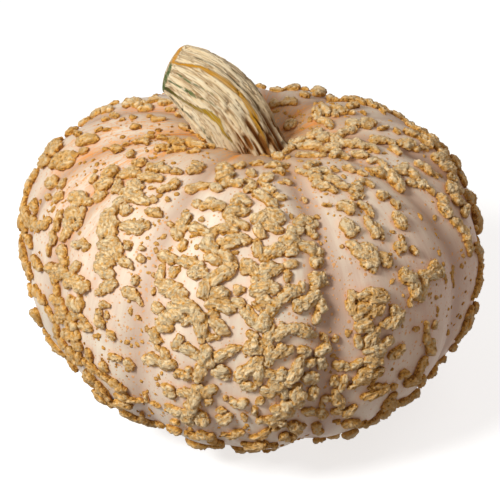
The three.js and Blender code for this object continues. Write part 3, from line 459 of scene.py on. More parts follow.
# The CAD source's random numbers, from 0 to 1.
def seeded(seed):
    state = seed
    mask = 0xFFFFFFFF
    while True:
        state = (state + 0x6D2B79F5) & mask
        mixed = ((state ^ (state >> 15)) * (state | 1)) & mask
        mixed = mixed ^ ((mixed + (mixed ^ (mixed >> 7)) * (mixed | 61)) & mask)
        yield ((mixed ^ (mixed >> 14)) & mask) / 4294967296


# The hidden side's warts by the CAD source's rule, with the same draws, and then smaller ones between them.
def hidden_warts(seed, count, spacing, width_range, length_range, taken):
    draws = seeded(seed)
    drawn = np.array([[next(draws) for _ in range(5)] for _ in range(HIDDEN_TRIES)])
    tilt = np.arcsin(2 * drawn[:, 0] - 1)
    around = 2 * math.pi * drawn[:, 1]
    level = np.cos(tilt)
    directions = np.stack([level * np.cos(around), level * np.sin(around), np.sin(tilt)], axis=1)
    turns = (drawn[:, 2] - 0.5) * HIDDEN_TURN
    lengths = length_range * drawn[:, 3]
    widths = width_range[0] + (width_range[1] - width_range[0]) * drawn[:, 4]
    centres = on_skin(directions)
    normals = skin_normal(directions)
    from_pole, longitude = angles(directions)
    seen = np.sum(normals * unit(eye - centres), axis=1)
    fits = (seen < 0.02) & (from_pole < BARE_BOTTOM)
    fits &= (from_pole > HOLLOW_EDGE) & (groove_share(longitude) < GROOVE_EDGE)
    accepted = list(taken)
    made = []
    for i in np.flatnonzero(fits):
        if len(made) == count:
            break
        if accepted and np.min(np.linalg.norm(np.array(accepted) - centres[i], axis=1)) < spacing:
            continue
        accepted.append(centres[i])
        normal = normals[i]
        meridian = unit(np.array([0, 0, 1]) - normal[2] * normal)
        along = meridian * math.cos(turns[i]) + np.cross(normal, meridian) * math.sin(turns[i])
        ends = np.array([-1, 0, 1])[:, None] * along * (lengths[i] / 2 + 1)
        made.append((widths[i], height_of(widths[i]), on_skin(centres[i] + ends)))
    return made, accepted


# A mesh from its vertices and one or more arrays of faces, each array with one number of corners.
def mesh_piece(name, vertices, face_arrays, slot):
    mesh = bpy.data.meshes.new(name)
    counts = np.concatenate([np.full(len(faces), faces.shape[1], np.int32) for faces in face_arrays])
    corners = np.concatenate([faces.ravel() for faces in face_arrays]).astype(np.int32)
    mesh.vertices.add(len(vertices))
    mesh.vertices.foreach_set("co", np.asarray(vertices, np.float32).ravel())
    mesh.loops.add(len(corners))
    mesh.loops.foreach_set("vertex_index", corners)
    mesh.polygons.add(len(counts))
    mesh.polygons.foreach_set("loop_start", np.concatenate([[0], np.cumsum(counts)[:-1]]).astype(np.int32))
    mesh.update(calc_edges=True)
    mesh.polygons.foreach_set("use_smooth", np.ones(len(mesh.polygons), bool))
    piece = bpy.data.objects.new(name, mesh)
    bpy.context.scene.collection.objects.link(piece)
    if slot:
        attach(piece, "root")
    return piece


def give(piece, name, values):
    values = np.asarray(values, np.float32)
    kind, key = ("FLOAT_VECTOR", "vector") if values.ndim == 2 else ("FLOAT", "value")
    piece.data.attributes.new(name, kind, "POINT").data.foreach_set(key, values.ravel())


def grid_faces(rows, columns):
    low = np.arange(rows - 1)[:, None] * columns
    here = np.arange(columns)[None, :]
    after = (here + 1) % columns
    quads = np.stack([low + here, low + after, low + columns + after, low + columns + here], axis=-1)
    return quads.reshape(-1, 4)


# Triangles from a tip to every side of a closed ring.
def fan(tip, ring):
    return np.stack([np.full(len(ring), tip), ring, np.roll(ring, -1)], axis=1)


# The faces of this many copies of a mesh, one after the other.
def copied(faces, points, count):
    return (faces[None] + (np.arange(count) * len(points))[:, None, None]).reshape(-1, 3)


# The vertices that faces use, and the faces numbered anew for those alone.
def used_by(faces):
    kept = np.unique(faces)
    renumber = np.zeros(kept[-1] + 1, np.int64)
    renumber[kept] = np.arange(len(kept))
    return kept, renumber[faces]


# Short forms for building materials from nodes. A colour is given as red, green and blue.
class Nodes:
    def __init__(self, name):
        self.material = bpy.data.materials.new(name)
        self.material.use_nodes = True
        self.tree = self.material.node_tree
        self.shader = self.tree.nodes["Principled BSDF"]

    def put(self, socket, value):
        if isinstance(value, bpy.types.NodeSocket):
            self.tree.links.new(value, socket)
        else:
            socket.default_value = (*value, 1) if socket.type == "RGBA" else value

    def add(self, kind, inputs=(), **settings):
        node = self.tree.nodes.new("ShaderNode" + kind)
        for key, value in settings.items():
            setattr(node, key, value)
        for key, value in dict(inputs).items():
            self.put(node.inputs[key], value)
        return node

    def value(self, name):
        return self.add("Attribute", attribute_name=name).outputs["Fac"]

    def vector(self, name):
        return self.add("Attribute", attribute_name=name).outputs["Vector"]

    def place(self):
        return self.add("TexCoord").outputs["Object"]

    def math(self, operation, *values):
        node = self.add("Math", operation=operation)
        for socket, value in zip(node.inputs, values):
            self.put(socket, value)
        return node.outputs[0]

    def times(self, first, second):
        return self.math("MULTIPLY", first, second)

    # A start, and parts that are each a value and its share.
    def total(self, start, *parts):
        for value, share in parts:
            start = self.math("MULTIPLY_ADD", value, share, start)
        return start

    # How far noise is from its middle value, which draws thin lines where it is little.
    def crease(self, value):
        return self.math("ABSOLUTE", self.math("SUBTRACT", value, 0.5))

    def noise(self, vector, scale, detail=4, rough=0.55, distortion=0):
        keys = ("Vector", "Scale", "Detail", "Roughness", "Distortion")
        inputs = dict(zip(keys, (vector, scale, detail, rough, distortion)))
        return self.add("TexNoise", inputs).outputs["Fac"]

    def stretch(self, vector, scale):
        return self.add("Mapping", {"Vector": vector, "Scale": scale}).outputs["Vector"]

    def between(self, value, low, high, to_low=0.0, to_high=1.0):
        inputs = {0: value, 1: low, 2: high, 3: to_low, 4: to_high}
        return self.add("MapRange", inputs, interpolation_type="SMOOTHSTEP").outputs[0]

    def mix(self, share, first, second, blend="MIX"):
        node = self.add("Mix", data_type="RGBA", blend_type=blend)
        for key, value in (("Factor_Float", share), ("A_Color", first), ("B_Color", second)):
            self.put(next(s for s in node.inputs if s.identifier == key), value)
        return next(s for s in node.outputs if s.identifier == "Result_Color")

    # Each stop is its place and its colour.
    def ramp(self, value, *stops):
        node = self.add("ValToRGB", {0: value})
        elements = node.color_ramp.elements
        while len(elements) < len(stops):
            elements.new(0.5)
        for element, (at, *tint) in zip(elements, stops):
            element.position = at
            element.color = (*tint, 1)
        return node.outputs[0]

    def surface(self, inputs):
        for key, value in inputs.items():
            self.put(self.shader.inputs[key], value)
        return self.material

    # The finished material. The bump is its height, its strength and its distance in metres.
    def finished(self, tone, roughness, specular, bump):
        normal = self.add("Bump", dict(zip(("Height", "Strength", "Distance"), bump))).outputs[0]
        return self.surface(
            {"Base Color": tone, "Roughness": roughness, "Specular IOR Level": specular, "Normal": normal}
        )


# For every point, which of the places is nearest, and how far off it is.
def nearest_of(points, places):
    tree = kdtree.KDTree(len(places))
    for i, place in enumerate(places):
        tree.insert(place, i)
    tree.balance()
    found = np.array([tree.find(point)[1:] for point in points])
    return found[:, 0].astype(int), found[:, 1]


# How far points of the skin are from the edge of the nearest wart.
def off_warts(points, warts):
    lines = [line for _, _, line in warts]
    widths = np.repeat([width for width, _, _ in warts], [len(line) for line in lines])
    nearest, away = nearest_of(points, np.concatenate(lines))
    return away - widths[nearest] / 2


# Where the photo shows specks and pimples crowded together: a place in the front view and a reach in
# millimetres.
CROWDS = [
    [146, 200, 13], [146, 232, 13], [143, 265, 13], [142, 300, 15], [140, 335, 16], [118, 345, 16],
    [112, 372, 14], [150, 378, 14], [152, 405, 14], [92, 335, 14], [62, 190, 16], [48, 215, 14],
    [90, 165, 14], [120, 130, 16], [165, 145, 16], [205, 160, 14], [300, 120, 16], [335, 105, 14],
    [345, 160, 16], [400, 165, 16], [430, 150, 14], [300, 178, 12], [322, 200, 12], [335, 250, 12],
    [336, 300, 12], [340, 340, 12], [400, 300, 14], [440, 300, 18], [455, 270, 15], [450, 330, 13],
    [395, 365, 13], [330, 380, 12], [240, 425, 12], [190, 240, 10], [284, 320, 9],
]
CROWD_SEED = 61

# Where the photo's warts are a deeper gold, in the same form. Most lie near the fruit's edges, and the gold
# there is partly painted shade.
GOLD_AND_SHADE = [
    [28, 225, 34], [40, 280, 30], [62, 330, 34], [85, 370, 32], [120, 400, 30], [200, 440, 26],
    [272, 440, 26], [475, 225, 30], [470, 300, 26], [430, 365, 30], [370, 306, 14], [380, 400, 30],
    [150, 140, 34], [80, 140, 26],
]
GOLDEN_SEED = 63


# How far points of the skin are inside such places, from 0 to 1. The hidden side has soft drifts instead.
def spotted(points, places, seed):
    rows = np.array(places, float)
    middles = seen_points(rows[:, :2], np.zeros(len(rows)))
    seen = np.zeros(len(points))
    for middle, reach in zip(middles, rows[:, 2]):
        seen += np.exp(-np.sum((points - middle) ** 2, axis=1) / reach**2)
    directions = unit(points)
    wild = smoothstep(0.05, 0.6, noise(directions * 4, seed) + 0.6 * noise(directions * 9, seed + 1))
    behind = smoothstep(0.15, -0.15, directions @ view_back)
    return np.clip(seen + wild * (0.3 + 0.5 * behind), 0, 1)


# Where the skin is rusty near the stem: the middle and the reach in degrees, and the angles from the pole, in
# radians, between which the rust fades.
RUSTY = [
    [188, 36, 0.75, 1.5], [45, 70, 0.35, 0.7], [120, 45, 0.5, 0.9],
    [340, 22, 0.3, 0.6], [238, 22, 0.35, 0.62],
]

# The skin, smooth between its ribs, with the flat spot that it stands on. Beside a wart it is tinted orange
# and darkened, partly as painted contact shade, and this fades between these distances from the wart's edge.
SKIN_ROWS = 228
SKIN_COLUMNS = 418
BESIDE = [-0.5, 3.2]


def skin_piece(warts):
    from_pole = np.linspace(0, math.pi, SKIN_ROWS + 2)[1:-1]
    around = np.linspace(0, 2 * math.pi, SKIN_COLUMNS, endpoint=False)
    pole, longitude = (grid.ravel() for grid in np.meshgrid(from_pole, around, indexing="ij"))
    directions = np.stack(
        [np.sin(pole) * np.cos(longitude), np.sin(pole) * np.sin(longitude), np.cos(pole)], axis=1
    )
    points = directions * (skin_radius(pole, longitude) + wave(directions))[:, None]
    points = np.concatenate([points, on_skin(np.array([[0, 0, 1], [0, 0, -1]], float))])
    ring = np.arange(SKIN_COLUMNS)
    last = (SKIN_ROWS - 1) * SKIN_COLUMNS + ring
    caps = [fan(len(points) - 2, ring), fan(len(points) - 1, last[::-1])]
    faces = grid_faces(SKIN_ROWS, SKIN_COLUMNS)[:, ::-1]
    piece = mesh_piece("skin", over_floor(points), [faces, *caps], "skin")
    pole, longitude = angles(points)
    rusty = np.zeros(len(points))
    for at, reach, low, high in RUSTY:
        away = turn_from(np.degrees(longitude), at)
        rusty = np.maximum(rusty, np.exp(-((away / reach) ** 4)) * smoothstep(high, low, pole))
    give(piece, "rusty", rusty)
    give(piece, "beside", smoothstep(BESIDE[1], BESIDE[0], off_warts(points, warts)))
    give(piece, "drift", spotted(points, CROWDS, CROWD_SEED))
    give(piece, "groove", groove_share(longitude))
    give(piece, "pole", pole)
    give(piece, "grain", np.stack([np.cos(longitude), np.sin(longitude), pole * 0.1], axis=1))
    return piece


# The warts: every one is a chain of plump, steep-sided lumps that are melted together. Warts that touch are
# melted in different groups, so that a crease stays between them.
VOXEL = {"front": 0.78, "hidden": 1.15}
SUNK = 0.5
GROUPS = 3
GROUP_REACH = 1.5
GROUP_GAP = 3
WART_SEED = 3
WART_PIECES = 5

# A lump's roundness, the distance from one to the next as a share of the wart's width, how much wider one end
# of a wart can be, and how often a lump has a knob on its side. A wart's wrinkles are drawn out along it, and
# each wart takes them from a place of its own in the noise.
LUMP_FULLNESS = 2.12
LUMP_STEP = 0.3
LUMP_SWELL = 0.25
KNOB_CHANCE = 0.4
DRAWN_OUT = 0.36
OWN_PLACE = 60


# A round lump with slightly square shoulders, as its points and its triangles.
def ball():
    mesh = bpy.data.meshes.new("ball")
    shape = bmesh.new()
    bmesh.ops.create_icosphere(shape, subdivisions=2, radius=1)
    shape.to_mesh(mesh)
    shape.free()
    points = np.array([v.co for v in mesh.vertices])
    faces = np.array([p.vertices for p in mesh.polygons])
    bpy.data.meshes.remove(mesh)
    across = np.hypot(points[:, 0], points[:, 1])
    full = across**LUMP_FULLNESS + np.abs(points[:, 2]) ** LUMP_FULLNESS
    return points / (full ** (1 / LUMP_FULLNESS))[:, None], faces


# Which group each wart is melted in: the one where it is least in the way of the warts before it.
def grouped(warts):
    groups = []
    middles = np.array([line.mean(axis=0) for _, _, line in warts])
    reaches = np.array([np.linalg.norm(line[-1] - line[0]) / 2 + width / 2 for width, _, line in warts])
    for i, (width, _, line) in enumerate(warts):
        strain = [0.0] * GROUPS
        away = np.linalg.norm(middles[:i] - middles[i], axis=1)
        for j in np.flatnonzero(away < reaches[:i] + reaches[i] + GROUP_REACH):
            apart = np.min(np.linalg.norm(warts[j][2][:, None] - line[None], axis=2))
            gap = apart - (width + warts[j][0]) / 2
            strain[groups[j]] += max(0, GROUP_GAP - gap)
        groups.append(int(np.argmin(strain)))
    return np.array(groups)


# The lumps of some warts: their centres, their axes, their half sizes along those, and the wart that each is
# of.
def lumps(warts, random):
    made = []
    for owner, (width, height, line) in enumerate(warts):
        length = reach_of(line)[-1]
        count = max(2, int(math.ceil(length / (LUMP_STEP * width))) + 1)
        path = along_line(line, np.linspace(0, length, count))
        normals = skin_normal(path)
        ahead = np.gradient(path, axis=0) + 1e-6
        ahead = unit(ahead - np.sum(ahead * normals, axis=1)[:, None] * normals)
        aside = np.cross(normals, ahead)
        share = np.linspace(-1, 1, count)
        swell = random.uniform(-LUMP_SWELL, LUMP_SWELL)

        def put(centre, front, up, size):
            made.append((centre, np.stack([front, np.cross(up, front), up]), size, owner))

        for i in range(count):
            broad = width / 2 * (1.1 - 0.12 * share[i] ** 2 + swell * share[i]) * random.uniform(0.88, 1.1)
            tall = height * (1.14 - 0.14 * share[i] ** 2 + 0.6 * swell * share[i]) * random.uniform(0.9, 1.15)
            sway = random.normal(0, 0.08, 2) * width
            place = path[i] + aside[i] * sway[0] + ahead[i] * sway[1] * 0.5 + normals[i] * (tall * 0.34)
            tip = random.normal(0, 0.16, 2)
            up = unit(normals[i] + tip[0] * aside[i] + tip[1] * ahead[i])
            front = unit(ahead[i] - np.dot(ahead[i], up) * up)
            put(place, front, up, [broad * random.uniform(0.9, 1.15), broad, tall * 0.66])
            if random.random() < KNOB_CHANCE:
                turn = random.uniform(0, 2 * math.pi)
                out = math.cos(turn) * ahead[i] + math.sin(turn) * aside[i]
                out = unit(out - np.dot(out, up) * up)
                small = broad * random.uniform(0.35, 0.5)
                knob = place + out * broad * random.uniform(0.7, 0.95) - normals[i] * tall * 0.14
                put(knob, out, up, [small * 1.4, small, tall * 0.48])
    return [np.array(values) for values in zip(*made)]


# Places in every wart's own axes, drawn out along it, so that its wrinkles run lengthwise.
def bark_of(vertices, warts, centres, owners, random):
    owner = owners[nearest_of(vertices, centres)[0]]
    middles = np.array([line.mean(axis=0) for _, _, line in warts])
    up = skin_normal(middles)
    ahead = np.array([line[-1] - line[0] for _, _, line in warts])
    ahead = unit(ahead - np.sum(ahead * up, axis=1)[:, None] * up)
    axes = np.stack([ahead * DRAWN_OUT, np.cross(up, ahead), up], axis=1)
    own = random.uniform(-OWN_PLACE, OWN_PLACE, (len(warts), 3))
    return np.einsum("nij,nj->ni", axes[owner], vertices - middles[owner]) + own[owner]


# What every item of a mesh says under a key, as rows of this width.
def read(items, key, kind, width):
    values = np.empty(len(items) * width, kind)
    items.foreach_get(key, values)
    return values.reshape(-1, width)


# One group of warts as a single mesh: its vertices, their normals, how far they rise over the skin, their
# places for the wrinkles, and its faces without those that are deep in the skin.
def melted(warts, voxel, random):
    points, faces = ball()
    centres, frames, sizes, owners = lumps(warts, random)
    everything = centres[:, None, :] + np.einsum("pk,nk,nkj->npj", points, sizes, frames)
    raw = mesh_piece("raw", everything.reshape(-1, 3), [copied(faces, points, len(centres))], None)
    remesh = raw.modifiers.new("melt", "REMESH")
    remesh.mode = "VOXEL"
    remesh.voxel_size = voxel
    smooth = raw.modifiers.new("smooth", "SMOOTH")
    smooth.factor = 0.5
    smooth.iterations = 1
    whole = raw.evaluated_get(bpy.context.evaluated_depsgraph_get()).to_mesh()
    vertices, normals = (
        read(whole.vertices, key, np.float32, 3).astype(float) for key in ("co", "normal")
    )
    quads = read(whole.loops, "vertex_index", np.int32, 1).reshape(-1, 4)
    bpy.data.objects.remove(raw)
    rise = over_skin(vertices) - wave(vertices)
    kept, quads = used_by(quads[np.max(rise[quads], axis=1) > -SUNK])
    bark = bark_of(vertices[kept], warts, centres, owners, random)
    return vertices[kept], normals[kept], rise[kept], bark, quads


# A piece of wart cork, with what its material reads at every vertex.
def cork_piece(name, vertices, faces, rise, folds, bark):
    kept, faces = used_by(faces)
    piece = mesh_piece(name, over_floor(vertices[kept]), [faces], "skin")
    give(piece, "rise", rise[kept])
    give(piece, "folds", folds[kept])
    give(piece, "gold_and_shade", spotted(vertices[kept], GOLD_AND_SHADE, GOLDEN_SEED))
    give(piece, "bark", bark[kept])
    return piece


def wart_pieces(sides):
    random = np.random.default_rng(WART_SEED)
    parts = []
    first = 0
    for side, warts in sides.items():
        groups = grouped(warts)
        for group in range(GROUPS):
            mine = [wart for wart, of in zip(warts, groups) if of == group]
            *arrays, quads = melted(mine, VOXEL[side], random)
            parts.append((*arrays, quads + first))
            first += len(arrays[0])
    vertices, normals, rise, bark, quads = (np.concatenate(arrays) for arrays in zip(*parts))
    stand = smoothstep(-0.5, 1.5, rise)
    lumpy = octaves(vertices / 4.2, seed=20, count=2)
    folds = np.minimum(np.abs(octaves(bark / 1.5 + 0.5 * lumpy[:, None], seed=30, count=2)), 0.6)
    pits = smoothstep(0.45, 0.75, noise(vertices / 1.6, seed=40))
    grit = octaves(vertices / 1.5, seed=45, count=2)
    out = stand * (0.8 * lumpy + 1.5 * folds - 0.35 - 0.55 * pits + 0.12 * grit)
    facing = np.clip(np.sum(normals * skin_normal(vertices), axis=1), 0, 1)
    crown = (rise + out) * (0.3 + 0.7 * smoothstep(0.25, 0.85, facing))
    vertices = vertices + normals * out[:, None]
    middles = vertices[quads[:, 0]]
    turn = np.arctan2(middles[:, 1], middles[:, 0])
    share = np.searchsorted(np.quantile(turn, np.linspace(0, 1, WART_PIECES + 1)[1:-1]), turn)
    # The folds value, lowered in the pits, is what darkens the cork's colour as painted shade in its folds
    # and pits.
    return [
        cork_piece("warts_%d" % (k + 1), vertices, quads[share == k], crown, folds - 0.7 * pits, bark)
        for k in range(WART_PIECES)
    ]


# Pimples between the warts, each a small dome that stands out of the skin. Their widths, how far they keep
# from the warts and from the pole, where the dome is cut off, and their chance outside the crowded places and
# in them.
PIMPLES = 1000
PIMPLE_TRIES = 9000
PIMPLE_SEED = 8
PIMPLE_WIDTH = [1.3, 3.6]
PIMPLE_CLEAR = 1
PIMPLE_FROM_POLE = 0.2
PIMPLE_CUT = -0.35
PIMPLE_CHANCE = [0.04, 0.9]


def pimple_piece(warts):
    random = np.random.default_rng(PIMPLE_SEED)
    points, faces = ball()
    faces = faces[np.mean(points[faces][:, :, 2], axis=1) > PIMPLE_CUT]
    directions = unit(random.normal(0, 1, (PIMPLE_TRIES, 3)))
    centres = on_skin(directions)
    from_pole = angles(directions)[0]
    fits = (from_pole > PIMPLE_FROM_POLE) & (from_pole < BARE_BOTTOM)
    fits &= off_warts(centres, warts) > PIMPLE_CLEAR
    chance = PIMPLE_CHANCE[0] + PIMPLE_CHANCE[1] * spotted(centres, CROWDS, CROWD_SEED)
    fits &= random.random(PIMPLE_TRIES) < chance
    centres = centres[fits][:PIMPLES]
    count = len(centres)
    up = skin_normal(centres)
    front = random.normal(0, 1, (count, 3))
    front = unit(front - np.sum(front * up, axis=1)[:, None] * up)
    frames = np.stack([front, np.cross(up, front), up], axis=1)
    width = PIMPLE_WIDTH[0] + (PIMPLE_WIDTH[1] - PIMPLE_WIDTH[0]) * random.random(count) ** 3
    shares = np.stack([random.uniform(1, 1.7, count), np.ones(count), np.full(count, 0.8)], axis=1)
    local = points[None] * (width[:, None] / 2 * shares)[:, None]
    bark = local + random.uniform(-OWN_PLACE, OWN_PLACE, (count, 1, 3))
    local = local * (1 + 0.3 * noise(bark.reshape(-1, 3) / 0.9, seed=95).reshape(count, -1, 1))
    vertices = centres[:, None] + np.einsum("npk,nkj->npj", local, frames)
    vertices = (vertices + wave(centres)[:, None, None] * up[:, None]).reshape(-1, 3)
    rise = 1.0 + local[:, :, 2].reshape(-1)
    folds = np.full(len(vertices), 0.1)
    return cork_piece("pimples", vertices, copied(faces, points, count), rise, folds, bark.reshape(-1, 3))


# The stem follows the CAD source's middle line, with finer ridges, fissures and a frayed foot. Its last rows
# close its rounded end. Lengths along it and breadths round it are measured in millimetres for its grain and
# paint.
STEM_ROWS = 190
STEM_COLUMNS = 260
CAP_ROWS = 26
CAP_RISE = 6
CAP_LENGTH = 15
STEM_LENGTH = 68
STEM_ROOT = -0.06
GRAIN_RADIUS = 21
FIBRE_LENGTH = 22
FIBRE_BREADTH = 2.6
PAINT_RADIUS = 22.5

# The hollows at the stem's foot: how many, the seed of their draws, the degrees that they turn by along the
# stem, and the depth in millimetres.
FOOT_HOLLOWS = 25
HOLLOW_SEED = 6
HOLLOW_TURN = 12
HOLLOW_DEEP = 3.6

# The hollows that the photo shows: degrees round the stem, half the breadth in degrees, the low and the high
# end as shares of the stem's length, and the depth.
SEEN_HOLLOWS = [
    [198, 3.4, 0.19, 0.33, 1], [190, 1.8, 0.14, 0.37, 0.9], [205, 1.9, 0.1, 0.24, 0.8],
    [212, 1.6, 0.2, 0.42, 0.6], [220, 2.2, 0.12, 0.28, 0.8], [228, 1.8, 0.15, 0.4, 0.7],
    [182, 1.6, 0.15, 0.3, 0.7], [238, 2, 0.1, 0.34, 0.8],
]

# The stem's stripes: a colour at the end and one at the foot, the width at each in millimetres, and the way
# that the stripe takes, as shares of the stem's length from its foot and degrees round it. Those that are
# thinner at the end than THIN_STRIPE are broken into dashes, and all fade out within STRIPE_FADE of the
# length at their ends.
THIN_STRIPE = 2.1
STRIPE_FADE = 0.03
STRIPES = [
    [(0.60, 0.28, 0.01), (0.54, 0.27, 0.015), 2.4, 4.2,
     [(1, 212), (0.94, 217), (0.84, 223), (0.66, 227), (0.5, 227), (0.36, 223)]],
    [(0.54, 0.27, 0.015), (0.24, 0.12, 0.03), 4.2, 0.8,
     [(0.36, 223), (0.26, 220), (0.05, 216)]],
    [(0.05, 0.07, 0.02), (0.54, 0.32, 0.015), 3.8, 3,
     [(1.02, 140), (0.86, 147), (0.72, 155), (0.6, 168), (0.48, 174)]],
    [(0.54, 0.32, 0.015), (0.22, 0.14, 0.02), 2.8, 0.7,
     [(0.48, 174), (0.38, 170), (0.2, 175)]],
    [(0.07, 0.12, 0.03), (0.2, 0.24, 0.08), 1.7, 0.7,
     [(1.02, 169), (0.88, 173), (0.73, 176), (0.64, 183), (0.5, 192)]],
    [(0.08, 0.14, 0.03), (0.3, 0.33, 0.14), 1.1, 0.5,
     [(1.0, 194), (0.84, 191), (0.76, 194), (0.66, 198)]],
    [(0.2, 0.13, 0.04), (0.12, 0.07, 0.02), 1.4, 2.2,
     [(0.66, 258), (0.51, 259), (0.38, 274), (0.27, 277), (0.1, 256)]],
    [(0.06, 0.06, 0.02), (0.14, 0.11, 0.03), 1.5, 1.2,
     [(0.95, 131), (0.67, 136), (0.45, 140), (0.2, 141)]],
    [(0.2, 0.14, 0.05), (0.2, 0.12, 0.04), 0.9, 1.6,
     [(0.9, 240), (0.6, 243), (0.3, 247), (0.1, 240)]],
    [(0.26, 0.17, 0.07), (0.2, 0.11, 0.04), 1, 2.2,
     [(0.95, 283), (0.7, 280), (0.4, 290), (0.1, 286)]],
    [(0.56, 0.26, 0.02), (0.4, 0.2, 0.03), 2.4, 2.0,
     [(1, 318), (0.7, 322), (0.4, 317), (0.1, 324)]],
    [(0.07, 0.1, 0.02), (0.38, 0.26, 0.03), 2.6, 1.4,
     [(1, 15), (0.7, 11), (0.4, 17), (0.15, 14)]],
    [(0.55, 0.27, 0.02), (0.34, 0.2, 0.03), 1.8, 2.6,
     [(1, 62), (0.7, 58), (0.4, 63), (0.1, 60)]],
    [(0.06, 0.1, 0.02), (0.3, 0.24, 0.05), 2.2, 1.0,
     [(1, 100), (0.7, 97), (0.4, 102), (0.2, 98)]],
]
END_ORANGE = (0.68, 0.3, 0.015)
END_GREEN = (0.08, 0.13, 0.03)


# The stem's middle line and the two ways across it at every row, the angle of every column, the radius of
# every point, and for every row its share of the length, its length in millimetres and how full its relief
# is.
def stem_points():
    foot = np.array(STEM_FOOT, float)
    bend = foot + STEM_BEND
    end = foot + STEM_END
    body = np.linspace(STEM_ROOT, 1, STEM_ROWS - CAP_ROWS)
    cap = np.linspace(0, math.pi / 2, CAP_ROWS + 1)[1:]
    share = np.concatenate([body, np.ones(CAP_ROWS)])
    middle = ((1 - share) ** 2)[:, None] * foot
    middle = middle + (2 * share * (1 - share))[:, None] * bend + (share**2)[:, None] * end
    along = unit(2 * (1 - share)[:, None] * (bend - foot) + 2 * share[:, None] * (end - bend))
    radius = np.interp(share, np.linspace(0, 1, len(STEM_RADII)), STEM_RADII)
    radius[-CAP_ROWS:] *= np.cos(cap * 0.999) ** 0.95
    middle[-CAP_ROWS:] += along[-CAP_ROWS:] * (CAP_RISE * np.sin(cap))[:, None]
    aside = unit(np.array([0, 1, 0]) - along[:, 1:2] * along)
    forward = np.cross(along, aside)
    angle = np.linspace(0, 2 * math.pi, STEM_COLUMNS, endpoint=False)
    relief = np.concatenate([np.ones(len(body)), np.cos(cap)])
    ridge = ((0.035 + 0.1 * np.clip(1 - share, 0, 1) ** 6) * relief)[:, None]
    ridged = 1 + ridge * np.cos(STEM_RIDGES * angle) + 0.6 * ridge * np.cos(3 * angle + 1)
    length = np.concatenate([body * STEM_LENGTH, STEM_LENGTH + CAP_LENGTH * cap])
    return middle, along, aside, forward, angle, radius[:, None] * ridged, share, length, relief


# How much of every point is painted, from 0 to 1, and with which colour.
def stem_paint(share, length, angle, grain):
    rows, columns = len(share), len(angle)
    ragged = octaves(grain * [2.5, 1.3, 1.3], seed=70, count=2).reshape(rows, columns)
    patchy = smoothstep(-0.5, -0.05, octaves(grain * [6, 2, 2], seed=75, count=2)).reshape(rows, columns)
    painted = np.zeros((rows, columns))
    paint = np.zeros((rows, columns, 3))

    def lay(weight, tint):
        nonlocal painted, paint
        paint = paint * (1 - weight[..., None]) + weight[..., None] * tint
        painted = np.maximum(painted, weight)

    degrees = np.degrees(angle)[None]
    for end_tint, foot_tint, end_width, foot_width, way in STRIPES:
        shares, turns = (np.array(values, float)[::-1] for values in zip(*way))
        at = np.interp(share, shares, turns)[:, None]
        away = turn_from(degrees, at) * math.radians(1) * PAINT_RADIUS + 0.7 * ragged
        down = np.clip((shares[-1] - share) / (shares[-1] - shares[0]), 0, 1)[:, None]
        half = (end_width + (foot_width - end_width) * down) / 2
        inside = smoothstep(shares[0] - STRIPE_FADE, shares[0], share)
        inside = inside * smoothstep(shares[-1] + STRIPE_FADE, shares[-1], share)
        weight = smoothstep(half + 0.3, half - 0.3, away) * inside[:, None]
        if end_width < THIN_STRIPE:
            weight = weight * (0.25 + 0.75 * patchy)
        lay(weight, np.array(end_tint) * (1 - down[..., None]) + np.array(foot_tint) * down[..., None])
    rim = smoothstep(70.5, 73, length[:, None] + 1.5 * ragged) * smoothstep(80, 77, length[:, None] + ragged)
    green = smoothstep(212, 204, degrees + 5 * ragged) * smoothstep(110, 130, degrees)
    orange = smoothstep(206, 214, degrees + 5 * ragged) * smoothstep(300, 275, degrees)
    lay(rim * orange, np.array(END_ORANGE))
    lay(rim * green, np.array(END_GREEN))
    return painted, paint


# Deep hollows between the roots of the stem's ridges, each with its own place, breadth and height.
def stem_hollows(share, angle):
    random = np.random.default_rng(HOLLOW_SEED)
    turned = np.degrees(angle)[None] + HOLLOW_TURN * share[:, None]
    hollow = np.zeros((len(share), len(angle)))
    for step in range(FOOT_HOLLOWS):
        at = (step + random.uniform(-0.3, 0.3)) * 360 / FOOT_HOLLOWS
        broad = random.uniform(2.5, 6)
        top = random.uniform(0.26, 0.48)
        here = np.exp(-((turn_from(turned, at) / broad) ** 2)) * smoothstep(top, top - 0.14, share)[:, None]
        hollow = np.maximum(hollow, here * random.uniform(0.6, 1))
    for at, broad, foot, top, deep in SEEN_HOLLOWS:
        tall = smoothstep(top, top - 0.08, share) * smoothstep(foot - 0.04, foot + 0.02, share)
        here = np.exp(-((turn_from(turned, at) / broad) ** 4)) * tall[:, None]
        hollow = np.maximum(hollow, here * deep)
    return hollow


